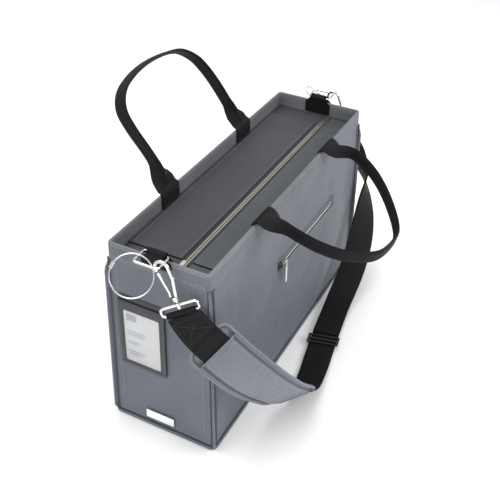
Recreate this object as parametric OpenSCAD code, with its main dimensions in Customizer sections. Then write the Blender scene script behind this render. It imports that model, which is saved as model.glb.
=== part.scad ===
// Open-topped mail sack: a boarded fabric tote with a zipped inset closure, two webbing
// handles, a padded shoulder strap on snap hooks, an ID pocket and two cable key rings.
// Millimetres. Origin: middle of the base on the surface it stands on. +X along the length,
// -Y towards the front pocket, +Z up.

/* [Bag] */
// Length of the base
base_len = 470; // [400:1:570]
// How far each end leans in on its way up to the rim
end_inset = 3.5; // [0:0.5:6]
// Depth of the base
base_dep = 148; // [130:1:180]
// How far the front and the back lean in on their way up to the rim
face_inset = 6; // [3:0.5:9]
// Height of the rim
bag_h = 280; // [230:1:340]
// Thickness of the padded fabric wall
wall = 2.5; // [2:0.1:3.5]
// Thickness of the stiffening boards
board = 2; // [1.5:0.1:3]
// Radius of the piped seams
pipe_r = 2.2; // [1.5:0.1:3]
// Depth of the turned rim hem
hem_h = 20; // [15:1:30]

/* [Closure] */
// Place of the zip across the bag
zip_y = -18; // [-25:1:0]
// Thickness of the closure flaps
flap_t = 2; // [1.2:0.1:3]
// Length of each fixed zip tail
tail_len = 34; // [32:1:45]
// Width of the closed zip teeth
teeth_w = 6.4; // [5:0.2:8]

/* [Front pocket] */
// Near end of the pocket zip
pocket_x0 = -45; // [-70:1:0]
// Far end of the pocket zip
pocket_x1 = 139; // [90:1:160]
// Height of the pocket zip
pocket_z = 170; // [120:1:200]

/* [Handles] */
// Distance between the two feet of a handle
handle_span = 200; // [180:5:230]
// Width of the folded grip
grip_w = 20; // [16:1:24]
// Thickness of the folded grip
grip_t = 4.4; // [3:0.2:6]
// Lean of the standing back handle
back_lean = 27; // [10:1:40]
// Lean of the fallen front handle
front_lean = 105; // [90:1:120]

/* [Webbing and hardware] */
// Width of all the webbing
web_w = 40; // [36:1:42]
// Thickness of the webbing
web_t = 2; // [1.5:0.1:2.5]
// Wire radius of the D rings
ring_r = 1.6; // [1.2:0.1:2]
// Wire radius of the snap hooks
hook_r = 2; // [1.6:0.1:2.2]
// Forward lean of the hanging snap hooks
hook_lean = 24; // [10:1:30]
// Turn of the strap loop on its swivel
loop_turn = 24; // [0:1:26]
// Mean radius of the cable rings
cable_ring_r = 25; // [20:1:28]
// Radius of the ring cable
cable_r = 0.9; // [0.7:0.1:1.2]

/* [Shoulder pad] */
// Width of the shoulder pad
pad_w = 60; // [54:1:70]
// Thickness of the pad's foam
pad_t = 7; // [4:0.5:8]

/* [ID pocket] */
// Width of the card
card_w = 54; // [50:1:60]
// Height of the card
card_h = 86; // [80:1:90]
// Thickness of the card
card_t = 0.8; // [0.5:0.1:1]
// Border of the pocket round the card
holder_border = 6.5; // [5:0.5:9]
// Height of the pocket's lower edge
holder_z = 98; // [80:1:110]
// Middle of the pocket across the end
holder_y = 25; // [15:1:26]

/* [Hidden] */

rim_len = base_len - 2 * end_inset;
rim_dep = base_dep - 2 * face_inset;
$fn = 32;
gap = 0.3;

// Bag slopes, and where a slanted wall's outer face is at height z
side_in = (base_len - rim_len) / 2;
face_in = (base_dep - rim_dep) / 2;
side_slope = atan2(side_in, bag_h);
face_slope = atan2(face_in, bag_h);
function side_x(z) = base_len / 2 - side_in * z / bag_h;
function face_y(z) = base_dep / 2 - face_in * z / bag_h;

cap_t = 1.5;
wall_z0 = wall + 0.1;
wall_top = bag_h - cap_t;
seam_fit = 0.15;

// Closure heights
ledge_z = bag_h - hem_h;
hinge_z = ledge_z - flap_t / 2;
ledge_w = 3;
ledge_y = face_y(ledge_z) - wall - cap_t - gap;
hinge_y = ledge_y - ledge_w - flap_t / 2;
tape_t = 0.9;
tape_w = 12;
teeth_t = 3.2;
flap_edge = 9;
tail_x1 = side_x(ledge_z) - wall - 0.15;
flap_half = tail_x1 - tail_len;
tape_z = ledge_z - flap_t - tape_t - 0.1;
teeth_z = tape_z + (tape_t - teeth_t) / 2;
teeth_part = 0.25;
slider_l = 12;
slider_w = 11;
pull_l = 19;
slider_x = -tail_x1 + slider_l / 2 + 5;

// Handle hinge lines stand just outside the rim
handle_y = rim_dep / 2 + 0.5;
handle_z = bag_h + web_t + 2;
foot_h = 38;
back_pts = [[-96, 0], [-105, 50], [-113, 85], [-114, 110], [-100, 128], [-72, 138],
            [-38, 142], [0, 140], [34, 133], [56, 118], [70, 98], [83, 62], [96, 0]];
front_pts = [[-98, 0], [-103, 51], [-101, 84], [-90, 113], [-66, 138], [-34, 147],
             [0, 144], [45, 117], [83, 84], [106, 50], [110, 24], [100, 0]];

// Ring tab, D ring and hook pivot
tab_x = rim_len / 2 - 2;
ring_z = bag_h + 5.5;
ring_half = 16;
ring_len = 24;
ring_bend = 4;
pivot_x = tab_x + 17.5;
pivot = [-pivot_x, -ring_half, ring_z];
arch_r = 8.5;
arch_drop = 2.6;
hook_len = 44;
loop_drop = 51;
loop_len = 10.5;
loop_half = web_w / 2 + 2.4;
loop_r = 1.9;
bar_drop = loop_drop + loop_len;
stem_r = 1.5;

// The strap's route and the way its width faces, both chosen by hand for the nominal bag
route_ref = [246, 285.5];
route = [[-246, -41, 229], [-253, -66, 215], [-252, -91, 197], [-240, -109, 170],
         [-219, -124, 136], [-190, -133, 98], [-152, -138, 55], [-105, -141, 20],
         [-56, -134, 8], [-18, -127, 6], [16, -121, 6], [58, -115, 8], [104, -110, 15],
         [150, -110, 44], [184, -107, 78], [218, -98, 113], [247, -84, 148],
         [254, -64, 190], [246, -41, 229]];
facing = [[0.41, -0.83, 0.37], [0.58, -0.68, 0.45], [0.66, -0.57, 0.49], [0.69, -0.52, 0.50],
          [0.66, -0.58, 0.48], [0.60, -0.67, 0.44], [0.52, -0.73, 0.44], [0.42, -0.84, 0.33],
          [0.34, -0.92, 0.20], [0.30, -0.94, 0.12], [0.26, -0.96, 0.08], [0.30, -0.94, 0.12],
          [0.36, -0.91, 0.16], [0.39, -0.92, 0.05], [0.46, -0.84, -0.28],
          [0.50, -0.55, -0.67], [0.42, -0.04, -0.91], [0.41, 0.48, -0.78],
          [0.41, 0.83, -0.37]];
route_step = 1 / 3;
pad_start = 1.3333;
cover_start = 2;
pad_end = 6.6667;
return_start = 10.3333;
glide_at = 10;

body_grey = [0.46, 0.48, 0.51];
dark_grey = [0.29, 0.29, 0.32];
web_black = [0.13, 0.13, 0.14];
steel = [0.78, 0.78, 0.77];

// ---------------------------------------------------------------- vector helpers

function unit(v) = v / norm(v);
function wrap(i, n) = (i % n + n) % n;

// Catmull-Rom value of a list of points at parameter u
function spline(pts, u) =
    let (last = len(pts) - 1, i = min(floor(u), last - 1), t = u - i,
         a = i > 0 ? pts[i - 1] : 2 * pts[0] - pts[1], b = pts[i], c = pts[i + 1],
         d = i + 2 <= last ? pts[i + 2] : 2 * pts[last] - pts[last - 1])
    0.5 * (2 * b + (c - a) * t + (2 * a - 5 * b + 4 * c - d) * t * t
           + (3 * b - a - 3 * c + d) * t * t * t);

// Outline of a flat strip of thickness t that follows the 2-D points
function strip_side(pts, d) = [for (i = [0:len(pts) - 1])
    let (a = pts[max(i - 1, 0)], b = pts[min(i + 1, len(pts) - 1)], v = unit(b - a))
    pts[i] + d * [-v[1], v[0]]];
function reversed(l) = [for (i = [len(l) - 1:-1:0]) l[i]];
function strip(pts, t) = concat(strip_side(pts, t / 2), reversed(strip_side(pts, -t / 2)));

// Round rod from a to b
module rod(a, b, r) {
    d = b - a;
    translate(a)
        rotate([0, acos(d[2] / norm(d)), atan2(d[1], d[0])])
            cylinder(h = norm(d), r = r);
}

module left_right(left) {
    mirror([left ? 0 : 1, 0, 0]) children();
}

// Closed solid through rings of equal point counts
module swept(rings) {
    n = len(rings[0]);
    m = len(rings);
    polyhedron(
        points = [for (ring = rings) each ring],
        faces = concat(
            [[for (i = [n - 1:-1:0]) i]],
            [for (j = [0:m - 2], i = [0:n - 1]) each
                let (a = j * n + i, b = j * n + (i + 1) % n)
                [[a, b, a + n], [b, b + n, a + n]]],
            [[for (i = [0:n - 1]) (m - 1) * n + i]]));
}

// ---------------------------------------------------------------- walls

module face_plate(z0, z1, depth, t, trim) {
    translate([0, -base_dep / 2, 0])
        rotate([-face_slope, 0, 0])
            translate([0, depth + t, 0])
                rotate([90, 0, 0])
                    linear_extrude(t)
                        polygon([[-side_x(z0) + trim, z0], [side_x(z0) - trim, z0],
                                 [side_x(z1) - trim, z1], [-side_x(z1) + trim, z1]]);
}

module side_plate(z0, z1, depth, t, trim) {
    translate([base_len / 2, 0, 0])
        rotate([0, -side_slope, 0])
            translate([-depth - t, 0, 0])
                rotate([90, 0, 90])
                    linear_extrude(t)
                        polygon([[-face_y(z0) + trim, z0], [face_y(z0) - trim, z0],
                                 [face_y(z1) - trim, z1], [-face_y(z1) + trim, z1]]);
}

module bottom_panel() {
    color(body_grey)
        translate([-base_len / 2, -base_dep / 2, 0])
            cube([base_len, base_dep, wall]);
}

module base_board() {
    inset = wall + board + 1;
    color(dark_grey)
        translate([-base_len / 2 + inset, -base_dep / 2 + inset, wall + 0.1])
            cube([base_len - 2 * inset, base_dep - 2 * inset, board]);
}

module base_piping() {
    off = pipe_r + gap;
    x = base_len / 2 + off;
    y = base_dep / 2 + off;
    color(body_grey)
        for (s = [-1, 1]) {
            rod([-x + 3, s * y, pipe_r + 0.1], [x - 3, s * y, pipe_r + 0.1], pipe_r);
            rod([s * x, -y + 3, pipe_r + 0.1], [s * x, y - 3, pipe_r + 0.1], pipe_r);
        }
}

module front_panel() { color(body_grey) face_plate(wall_z0, wall_top, 0, wall, 0.05); }

module back_panel() {
    color(body_grey) mirror([0, 1, 0]) face_plate(wall_z0, wall_top, 0, wall, 0.05);
}

module right_end_panel() {
    color(body_grey) side_plate(wall_z0, wall_top, 0, wall, wall + seam_fit);
}

module left_end_panel() {
    color(body_grey)
        mirror([1, 0, 0]) side_plate(wall_z0, wall_top, 0, wall, wall + seam_fit);
}

module front_board() {
    color(dark_grey)
        face_plate(wall_z0 + 3, ledge_z - flap_t - 3, wall + 0.1, board, wall + 2);
}

module back_board() { mirror([0, 1, 0]) front_board(); }

module corner_piping() {
    off = 0.75 * pipe_r + gap;
    z0 = 2 * pipe_r + 1.2;
    z1 = ledge_z - 2;
    color(body_grey)
        for (sx = [-1, 1], sy = [-1, 1])
            rod([sx * (side_x(z0) + off), sy * (face_y(z0) + off), z0],
                [sx * (side_x(z1) + off), sy * (face_y(z1) + off), z1], pipe_r);
}

// Turned hem: a cap over the wall's edge and a facing down the inside
module front_rim_hem() {
    color(body_grey) {
        face_plate(ledge_z + 0.2, wall_top + 0.5, wall + 0.05, cap_t, wall + seam_fit);
        face_plate(wall_top + 0.05, bag_h, 0, wall + cap_t + 0.05, 0.05);
    }
}

module back_rim_hem() { mirror([0, 1, 0]) front_rim_hem(); }

module right_rim_hem() {
    trim = wall + cap_t + 0.3;
    color(body_grey) {
        side_plate(ledge_z + 0.2, wall_top + 0.5, wall + 0.05, cap_t, trim);
        side_plate(wall_top + 0.05, bag_h, 0, wall + cap_t + 0.05, trim);
    }
}

module left_rim_hem() { mirror([1, 0, 0]) right_rim_hem(); }

// ---------------------------------------------------------------- zipped closure

module front_ledge() {
    color(dark_grey)
        translate([-flap_half, -ledge_y, ledge_z - flap_t])
            cube([2 * flap_half, ledge_w, flap_t]);
}

module back_ledge() { mirror([0, 1, 0]) front_ledge(); }

// Flap from its hinge line to the zip; inward is +1 for the front flap
module flap(inward, edge_y) {
    start = -inward * hinge_y;
    length = abs(edge_y - start);
    translate([-flap_half, start, hinge_z]) {
        rotate([0, 90, 0]) cylinder(h = 2 * flap_half, d = flap_t);
        translate([0, inward > 0 ? 0 : -length, -flap_t / 2])
            cube([2 * flap_half, length, flap_t]);
    }
}

module front_flap() { color(body_grey) flap(1, zip_y - flap_edge); }
module back_flap() { color(dark_grey) flap(-1, zip_y + flap_edge); }

// Bar of the zip between two distances from its middle line
module zip_bar(x0, x1, side, d0, d1, z, t) {
    translate([x0, zip_y + (side > 0 ? d0 : -d1), z])
        cube([x1 - x0, d1 - d0, t]);
}

module zip_tape(x0, x1, side) {
    color(web_black)
        zip_bar(x0, x1, side, teeth_w / 2 + 0.05, teeth_w / 2 + tape_w, tape_z, tape_t);
}

module zip_teeth(x0, x1, side) {
    color([0.72, 0.72, 0.68])
        zip_bar(x0, x1, side, teeth_part, teeth_w / 2, teeth_z, teeth_t);
}

module front_zip_tape() { zip_tape(-flap_half, flap_half, -1); }
module back_zip_tape() { zip_tape(-flap_half, flap_half, 1); }
module front_zip_teeth() { zip_teeth(-flap_half, flap_half, -1); }
module back_zip_teeth() { zip_teeth(-flap_half, flap_half, 1); }

// Fixed gussets at both ends, carrying the zip's tails
module zip_tail_tapes() {
    color(dark_grey)
        for (side = [-1, 1]) {
            reach = ledge_y - 2.5 - side * zip_y;
            zip_bar(flap_half + gap, tail_x1, side, teeth_w / 2 + 0.05, reach, tape_z, tape_t);
            zip_bar(-tail_x1, -flap_half - gap, side, teeth_w / 2 + 0.05, reach, tape_z, tape_t);
        }
}

module zip_tail_teeth() {
    for (side = [-1, 1]) {
        zip_teeth(flap_half + gap, tail_x1, side);
        zip_teeth(-tail_x1, -flap_half - gap, side);
    }
}

// Slider shell round teeth that run along X, middle of the teeth at the origin; its lug holds
// the pull's pin above it
lug_h = 2.6;
pin_r = 0.7;
shell_t = 1.2;
pin_z = teeth_t / 2 + gap + shell_t + lug_h / 2;
module slider_shell() {
    half = teeth_t / 2 + gap;
    slit = tape_t / 2 + gap;
    color(steel) {
        translate([-slider_l / 2, -teeth_part / 2, -half - 0.1])
            cube([4, teeth_part, 2 * half + 0.2]);
        for (s = [-1, 1]) {
            translate([-slider_l / 2, -slider_w / 2, s > 0 ? half : -half - shell_t])
                cube([slider_l, slider_w, shell_t]);
            for (e = [-1, 1])
                translate([-slider_l / 2, e > 0 ? slider_w / 2 - 1.6 : -slider_w / 2,
                           s > 0 ? slit : -half])
                    cube([slider_l, 1.6, half - slit + 0.01]);
        }
        for (e = [-1, 1])
            translate([-1.5, e > 0 ? 1.3 : -2.5, half + shell_t - 0.01])
                cube([3, 1.2, lug_h]);
        translate([0, -2, pin_z]) rotate([-90, 0, 0]) cylinder(h = 4, r = pin_r);
    }
}

// Pull tab lying along +X from its pin
module pull_tab(length) {
    hole_r = pin_r + 0.08;
    color(steel)
        difference() {
            union() {
                translate([0, 0, -0.7]) cylinder(h = 1.4, r = 1.2);
                translate([0, -1.2, -0.7]) cube([5, 2.4, 1.4]);
                translate([4, -2.6, -0.7]) cube([length - 6.6, 5.2, 1.4]);
                translate([length - 2.6, 0, -0.7]) cylinder(h = 1.4, r = 2.6);
                translate([0, 1.2, 0]) rotate([90, 0, 0]) cylinder(h = 2.4, r = 1.2);
            }
            translate([0, 5, 0]) rotate([90, 0, 0]) cylinder(h = 10, r = hole_r);
        }
}

teeth_mid = teeth_z + teeth_t / 2;
module zip_slider() { translate([slider_x, zip_y, teeth_mid]) slider_shell(); }
module zip_pull() { translate([slider_x, zip_y, teeth_mid + pin_z]) pull_tab(pull_l); }

// ---------------------------------------------------------------- front pocket

pocket_face = face_y(pocket_z);
pocket_out = teeth_t / 2 + 2.2;

// Moves children from the bag's own frame at the pocket zip onto the leaning front
module on_front(z) {
    translate([0, -face_y(z), z]) rotate([-face_slope, 0, 0]) children();
}

module pocket_pouch() {
    color(dark_grey)
        on_front(pocket_z)
            translate([pocket_x0 - 4, wall + board + 0.4, -110])
                cube([pocket_x1 - pocket_x0 + 8, 2.4, 120]);
}

module pocket_zip_tape() {
    color(web_black)
        on_front(pocket_z)
            translate([pocket_x0, -tape_t - 0.1, -7])
                cube([pocket_x1 - pocket_x0, tape_t, 14]);
}

module pocket_zip_teeth() {
    color([0.72, 0.72, 0.68])
        on_front(pocket_z)
            translate([pocket_x0, -tape_t - 0.2 - 1.8, -2.2])
                cube([pocket_x1 - pocket_x0, 1.8, 4.4]);
}

// Pocket slider rides over the teeth; its pull hangs down
pocket_slider_out = tape_t + 0.2 + 1.8 + gap;
pocket_pin_out = pocket_slider_out + shell_t + lug_h / 2;
pocket_slider_x = pocket_x0 + slider_l / 2 + 1;
module pocket_slider() {
    color(steel)
        on_front(pocket_z)
            translate([pocket_slider_x, 0, 0]) {
                translate([-slider_l / 2, -pocket_slider_out - shell_t, -4.6])
                    cube([slider_l, shell_t, 9.2]);
                for (e = [-1, 1]) {
                    translate([-slider_l / 2, -pocket_slider_out - 0.01, e > 0 ? 2.8 : -4.6])
                        cube([slider_l, 1.5, 1.8]);
                    translate([e > 0 ? 1.3 : -2.5, -pocket_slider_out - shell_t - lug_h, -1.5])
                        cube([1.2, lug_h + 0.01, 3]);
                }
                translate([-2, -pocket_pin_out, 0])
                    rotate([0, 90, 0]) cylinder(h = 4, r = pin_r);
            }
}

module pocket_pull() {
    on_front(pocket_z)
        translate([pocket_slider_x, -pocket_pin_out, 0])
            rotate([0, 90, 0]) rotate([90, 0, 0]) pull_tab(30);
}

// ---------------------------------------------------------------- handles

// Webbing tails down the inside of the rim, turned over its top
module front_handle_anchors() {
    inner = face_y(bag_h) - wall - cap_t - web_t - gap;
    color(web_black)
        for (s = [-1, 1])
            translate([s * handle_span / 2 - web_w / 2, 0, 0]) {
                translate([0, -inner - web_t, ledge_z + 1.2])
                    cube([web_w, web_t, bag_h - ledge_z - 1.2 + 0.2]);
                translate([0, -face_y(bag_h) + 0.4, bag_h + 0.1])
                    cube([web_w, face_y(bag_h) - inner - 0.4, web_t]);
            }
}

module back_handle_anchors() { mirror([0, 1, 0]) front_handle_anchors(); }

// Grip standing up from its hinge line along +Z, its width across Y
module handle(pts) {
    span = handle_span / 200;
    m = 2 * (len(pts) - 1);
    centre = [for (i = [0:m]) let (p = spline(pts, i / 2)) [p[0] * span, p[1]]];
    rings = [for (i = [0:m])
        let (a = centre[max(i - 1, 0)], b = centre[min(i + 1, m)], v = unit(b - a),
             n = [-v[1], v[0]], p = centre[i], low = p[1] < foot_h - 1,
             k = low ? p[1] / foot_h : 1,
             half_t = low ? web_w / 2 * (1 - k) + grip_t / 2 * k : grip_t / 2,
             half_w = low ? 1.2 * (1 - k) + grip_w / 2 * k : grip_w / 2,
             nn = low ? [1, 0] * sign(n[0] == 0 ? 1 : n[0]) : n,
             q = low ? [sign(p[0]) * handle_span / 2 * (1 - k) + k * p[0], p[1]] : p)
        [for (c = [[-1, -1], [1, -1], [1, 1], [-1, 1]])
            [q[0] + nn[0] * half_t * c[0], half_w * c[1], q[1] + nn[1] * half_t * c[0]]]];
    color(web_black) {
        swept(rings);
        for (s = [-1, 1])
            translate([s * handle_span / 2 - web_w / 2, 0, 0])
                rotate([0, 90, 0]) cylinder(h = web_w, r = 1.6);
    }
}

module back_handle() {
    translate([0, handle_y, handle_z]) rotate([-back_lean, 0, 0]) handle(back_pts);
}

module front_handle() {
    translate([0, -handle_y, handle_z]) rotate([front_lean, 0, 0]) handle(front_pts);
}

// ---------------------------------------------------------------- ring tabs and D rings

// Webbing over the rim whose raised bight carries the ring's bar
module left_ring_tab() {
    inner_x = rim_len / 2 - wall - cap_t - gap - web_t;
    outer_x = rim_len / 2 + 0.5;
    bight = ring_half - ring_bend;
    color(web_black) mirror([1, 0, 0]) {
        translate([inner_x, -web_w / 2, ledge_z + 1.2])
            cube([web_t, web_w, hem_h - 0.8]);
        translate([outer_x, -web_w / 2, bag_h - 12]) cube([web_t, web_w, 12.4]);
        translate([(inner_x + outer_x + web_t) / 2, bight, 0]) rotate([90, 0, 0])
            linear_extrude(2 * bight)
                difference() {
                    round_top((outer_x - inner_x + web_t) / 2, bag_h - 1, ring_z);
                    round_top((outer_x - inner_x - web_t) / 2, bag_h - 2, ring_z);
                }
    }
}

// Upright shape with a round top, from height z0 to a half circle about z1
module round_top(r, z0, z1) {
    translate([-r, z0]) square([2 * r, z1 - z0]);
    translate([0, z1]) circle(r = r);
}

module right_ring_tab() { mirror([1, 0, 0]) left_ring_tab(); }

// Rounded rectangle of wire in the XY plane; bar at x = 0, bow at x = -length
module wire_loop(length, half, bend, r) {
    straight = half - bend;
    for (x = [0, -length])
        translate([x, -straight, 0]) rotate([-90, 0, 0]) cylinder(h = 2 * straight, r = r);
    for (y = [-half, half])
        translate([-bend, y, 0]) rotate([0, -90, 0]) cylinder(h = length - 2 * bend, r = r);
    for (c = [[-bend, straight, 0], [-length + bend, straight, 90],
              [-length + bend, -straight, 180], [-bend, -straight, 270]])
        translate([c[0], c[1], 0]) rotate([0, 0, c[2]])
            rotate_extrude(angle = 90) translate([bend, 0]) circle(r = r);
}

module left_d_ring() {
    color(steel) translate([-tab_x, 0, ring_z]) wire_loop(ring_len, ring_half, ring_bend, ring_r);
}

module right_d_ring() { mirror([1, 0, 0]) left_d_ring(); }

// ---------------------------------------------------------------- cable key rings

cable_top = [-pivot_x + 0.25, ring_half + 5.13, ring_z + 4.30];
cable_turn = -26;
cable_tilt = -54;
barrel_at = 152;
barrel_half = 11;

// Circle frame: the ring lies in the local XY plane, its top at local +Y
module cable_frame() {
    translate(cable_top) rotate([0, 0, -90 - cable_turn]) rotate([-cable_tilt, 0, 0])
        translate([0, -cable_ring_r, 0]) children();
}

module left_cable_ring() {
    color(steel) cable_frame() {
        rotate([0, 0, barrel_at + barrel_half])
            rotate_extrude(angle = 360 - 2 * barrel_half)
                translate([cable_ring_r, 0]) circle(r = cable_r);
        chord = cable_ring_r * sin(barrel_half);
        rotate([0, 0, barrel_at]) translate([cable_ring_r * cos(barrel_half), -chord, 0])
            rotate([-90, 0, 0]) cylinder(h = 2 * chord, r = cable_r);
    }
}

module left_ring_barrel() {
    half = cable_ring_r * sin(barrel_half) - 0.6;
    color(steel) cable_frame()
        rotate([0, 0, barrel_at]) translate([cable_ring_r * cos(barrel_half), -half, 0])
            rotate([-90, 0, 0]) difference() {
                cylinder(h = 2 * half, r = 2.3);
                translate([0, 0, -1]) cylinder(h = 2 * half + 2, r = cable_r + 0.08);
            }
}

module right_cable_ring() { mirror([1, 0, 0]) left_cable_ring(); }
module right_ring_barrel() { mirror([1, 0, 0]) left_ring_barrel(); }

// ---------------------------------------------------------------- snap hooks

// Hook frame: origin on the D ring's leg, the hook hanging along -Z in the YZ plane
module hook_frame() {
    translate(pivot) rotate([-hook_lean, 0, 0]) children();
}

nose = [0, arch_r, -arch_drop - 3];
gate_foot = [0, 3.4, -hook_len + 2];
module left_hook() {
    color(steel) hook_frame() {
        translate([0, 0, -arch_drop]) rotate([0, 90, 0]) rotate([0, 0, 90])
            rotate_extrude(angle = 180) translate([arch_r, 0]) circle(r = hook_r);
        rod([0, arch_r, -arch_drop], nose, hook_r);
        rod([0, -arch_r, -arch_drop], [0, -arch_r, -arch_drop - 14], hook_r);
        rod([0, -arch_r, -arch_drop - 14], [0, -1.5, -hook_len + 2], hook_r);
        translate([0, -arch_r, -arch_drop - 14]) sphere(r = hook_r + 0.2);
        translate([0, 0, -hook_len - 1]) cylinder(h = 5, r = 3.6);
        rod([0, 0, -hook_len + 2.5], [0, 0, -loop_drop + loop_r + 1.1], stem_r);
        translate([0, 0, -loop_drop - loop_r - 2.6]) cylinder(h = 1.6, r = 2.6);
        rod([0, 0, -loop_drop + loop_r + 2], [0, 0, -loop_drop - loop_r - 1.2], 1.1);
    }
}

module left_gate() {
    tip = nose + [0, 0, -hook_r - gap];
    lower = gate_foot + [0, 0.9, 4.2];
    color(steel) hook_frame() {
        rod(lower, tip, hook_r - 0.4);
        translate(lower) rotate([0, 90, 0]) cylinder(h = 3.6, r = 1.7, center = true);
    }
}

module right_hook() { mirror([1, 0, 0]) left_hook(); }
module right_gate() { mirror([1, 0, 0]) left_gate(); }

// Rectangular loop that turns on the hook's stem and takes the webbing
module left_strap_loop() {
    color(steel) hook_frame()
        translate([0, 0, -loop_drop]) rotate([0, 0, loop_turn]) difference() {
            union() {
                rotate([0, -90, 0]) wire_loop(loop_len, loop_half, 3.6, loop_r);
                translate([0, 0, -loop_r - 0.9]) cylinder(h = 2 * loop_r + 1.8, r = 3.1);
            }
            translate([0, 0, -10]) cylinder(h = 20, r = 1.1 + 0.08);
        }
}

module right_strap_loop() { mirror([1, 0, 0]) left_strap_loop(); }

// ---------------------------------------------------------------- shoulder strap

route_x = pivot_x / route_ref[0];
route_z = ring_z - route_ref[1];
route_y = (146 - face_y(100) * 2) / 2 + 71.857 - 73;
function off_ends(u) = min(1, u / 2, (len(route) - 1 - u) / 2);
function at(u) = let (p = spline(route, u))
    [p[0] * route_x, p[1] + route_y * off_ends(u), p[2] + route_z * p[2] / route[0][2]];
function along(u) = unit(at(min(u + 0.05, len(route) - 1)) - at(max(u - 0.05, 0)));
function square_up(u) = min(1, u / 1.5, (len(route) - 1 - u) / 1.5);
function across(u) =
    let (w = spline(facing, u), t = along(u)) unit(w - square_up(u) * (w * t) * t);
function outward(u) = unit(cross(across(u), along(u)));

// Profile of [across, outward] points carried along the route from u0 to u1
module carried(u0, u1, profile) {
    first = floor(u0 / route_step + 1.01);
    last = ceil(u1 / route_step - 1.01);
    swept([for (u = concat([u0], [for (i = [first:last]) i * route_step], [u1]))
        let (c = at(u), w = across(u), o = outward(u))
        [for (q = profile) c + q[0] * w + q[1] * o]]);
}

// Ribbon of the given width between two heights off the route
module ribbon(u0, u1, width, low, high) {
    h = width / 2;
    carried(u0, u1, [[-h, low], [h, low], [h, high], [-h, high]]);
}

// Sleeve of webbing round a strap loop's lower bar
module bar_sleeve() {
    hook_frame() translate([0, 0, -bar_drop]) rotate([0, 0, loop_turn]) rotate([90, 0, 0])
        difference() {
            cylinder(h = web_w - 4, r = loop_r + gap + web_t, center = true);
            cylinder(h = web_w, r = loop_r + gap, center = true);
        }
}

module strap_webbing() {
    color(web_black) {
        ribbon(0.12, len(route) - 1.075, web_w, -web_t / 2, web_t / 2);
        bar_sleeve();
        mirror([1, 0, 0]) bar_sleeve();
    }
}

module strap_return() {
    low = web_t / 2 + gap;
    color(web_black)
        ribbon(return_start, len(route) - 1.3333, web_w, low, low + web_t);
}

module tri_glide() {
    c = at(glide_at);
    x = along(glide_at);
    y = across(glide_at);
    z = outward(glide_at);
    low = web_t / 2 + gap;
    color([0.25, 0.25, 0.26])
        multmatrix([[x[0], y[0], z[0], c[0]], [x[1], y[1], z[1], c[1]],
                    [x[2], y[2], z[2], c[2]], [0, 0, 0, 1]])
            translate([0, 0, low]) difference() {
                translate([-8.5, -web_w / 2 - 3.5, 0]) cube([17, web_w + 7, 2.4]);
                for (s = [-1, 1])
                    translate([s * 3.9 - 2.5, -web_w / 2 - 0.5, -1]) cube([5, web_w + 1, 5]);
            }
}

module shoulder_pad() {
    low = web_t / 2 + gap;
    color([0.55, 0.57, 0.6]) ribbon(pad_start, pad_end, pad_w, low, low + pad_t);
}

module pad_cover() {
    foot = web_t / 2 + gap - 0.1;
    inner = -web_t / 2 - gap;
    top = inner - 1.3;
    c = web_w / 2 + 0.5;
    h = pad_w / 2;
    color([0.55, 0.57, 0.6])
        carried(cover_start, pad_end - route_step,
                [[-h, top], [h, top], [h, foot], [c, foot], [c, inner], [-c, inner],
                 [-c, foot], [-h, foot]]);
}

// ---------------------------------------------------------------- ID pocket and label

// Frame on the left end: X towards the bag's back, Y up, Z out of the wall
module on_end(y, z) {
    translate([-side_x(z), y, z]) rotate([0, side_slope, 0]) rotate([90, 0, -90])
        mirror([0, 0, 0]) children();
}

holder_w = card_w + 2 * holder_border;
holder_h = card_h + 4 * holder_border;
card_low = 6;
layer = card_t + 0.2;

module holder_back() {
    color(dark_grey) on_end(holder_y, holder_z)
        translate([-holder_w / 2, 0, 0.1]) cube([holder_w, holder_h, 1]);
}

module holder_frame() {
    color(dark_grey) on_end(holder_y, holder_z)
        translate([-holder_w / 2, 0, 1.15]) difference() {
            cube([holder_w, holder_h - 6, layer + 1]);
            translate([holder_border - 0.6, card_low - 0.3, -1])
                cube([card_w + 1.2, holder_h, layer + 1]);
            translate([holder_border + 1.5, card_low + 2, -1])
                cube([card_w - 3, card_h - 4, 6]);
        }
}

module holder_window() {
    color([0.85, 0.9, 0.95, 0.3]) on_end(holder_y, holder_z)
        translate([-card_w / 2 + 1.6, card_low + 2.1, 1.15 + layer + 0.1])
            cube([card_w - 3.2, card_h - 4.2, 0.5]);
}

module id_card() {
    color([0.9, 0.9, 0.9]) on_end(holder_y, holder_z)
        translate([-card_w / 2, card_low, 1.25]) cube([card_w, card_h, card_t]);
}

module label_plate() {
    color([0.92, 0.92, 0.92]) on_end(6, 12)
        translate([-21, 0, 0.1]) cube([42, 13, 1.2]);
}

// ---------------------------------------------------------------- the parts

bottom_panel();
base_board();
base_piping();
front_panel();
back_panel();
left_end_panel();
right_end_panel();
front_board();
back_board();
corner_piping();
front_rim_hem();
back_rim_hem();
left_rim_hem();
right_rim_hem();
front_ledge();
back_ledge();
front_flap();
back_flap();
front_zip_tape();
back_zip_tape();
front_zip_teeth();
back_zip_teeth();
zip_tail_tapes();
zip_tail_teeth();
zip_slider();
zip_pull();
pocket_pouch();
pocket_zip_tape();
pocket_zip_teeth();
pocket_slider();
pocket_pull();
front_handle_anchors();
back_handle_anchors();
front_handle();
back_handle();
left_ring_tab();
right_ring_tab();
left_d_ring();
right_d_ring();
left_cable_ring();
right_cable_ring();
left_ring_barrel();
right_ring_barrel();
left_hook();
right_hook();
left_gate();
right_gate();
left_strap_loop();
right_strap_loop();
strap_webbing();
strap_return();
tri_glide();
shoulder_pad();
pad_cover();
holder_back();
holder_frame();
holder_window();
id_card();
label_plate();
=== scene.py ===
"""Mail sack: fabric shell, webbing, zips, hardware finishes, floor, light and camera."""

import math

import bmesh
import bpy
from mathutils import Matrix, Vector, noise


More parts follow.
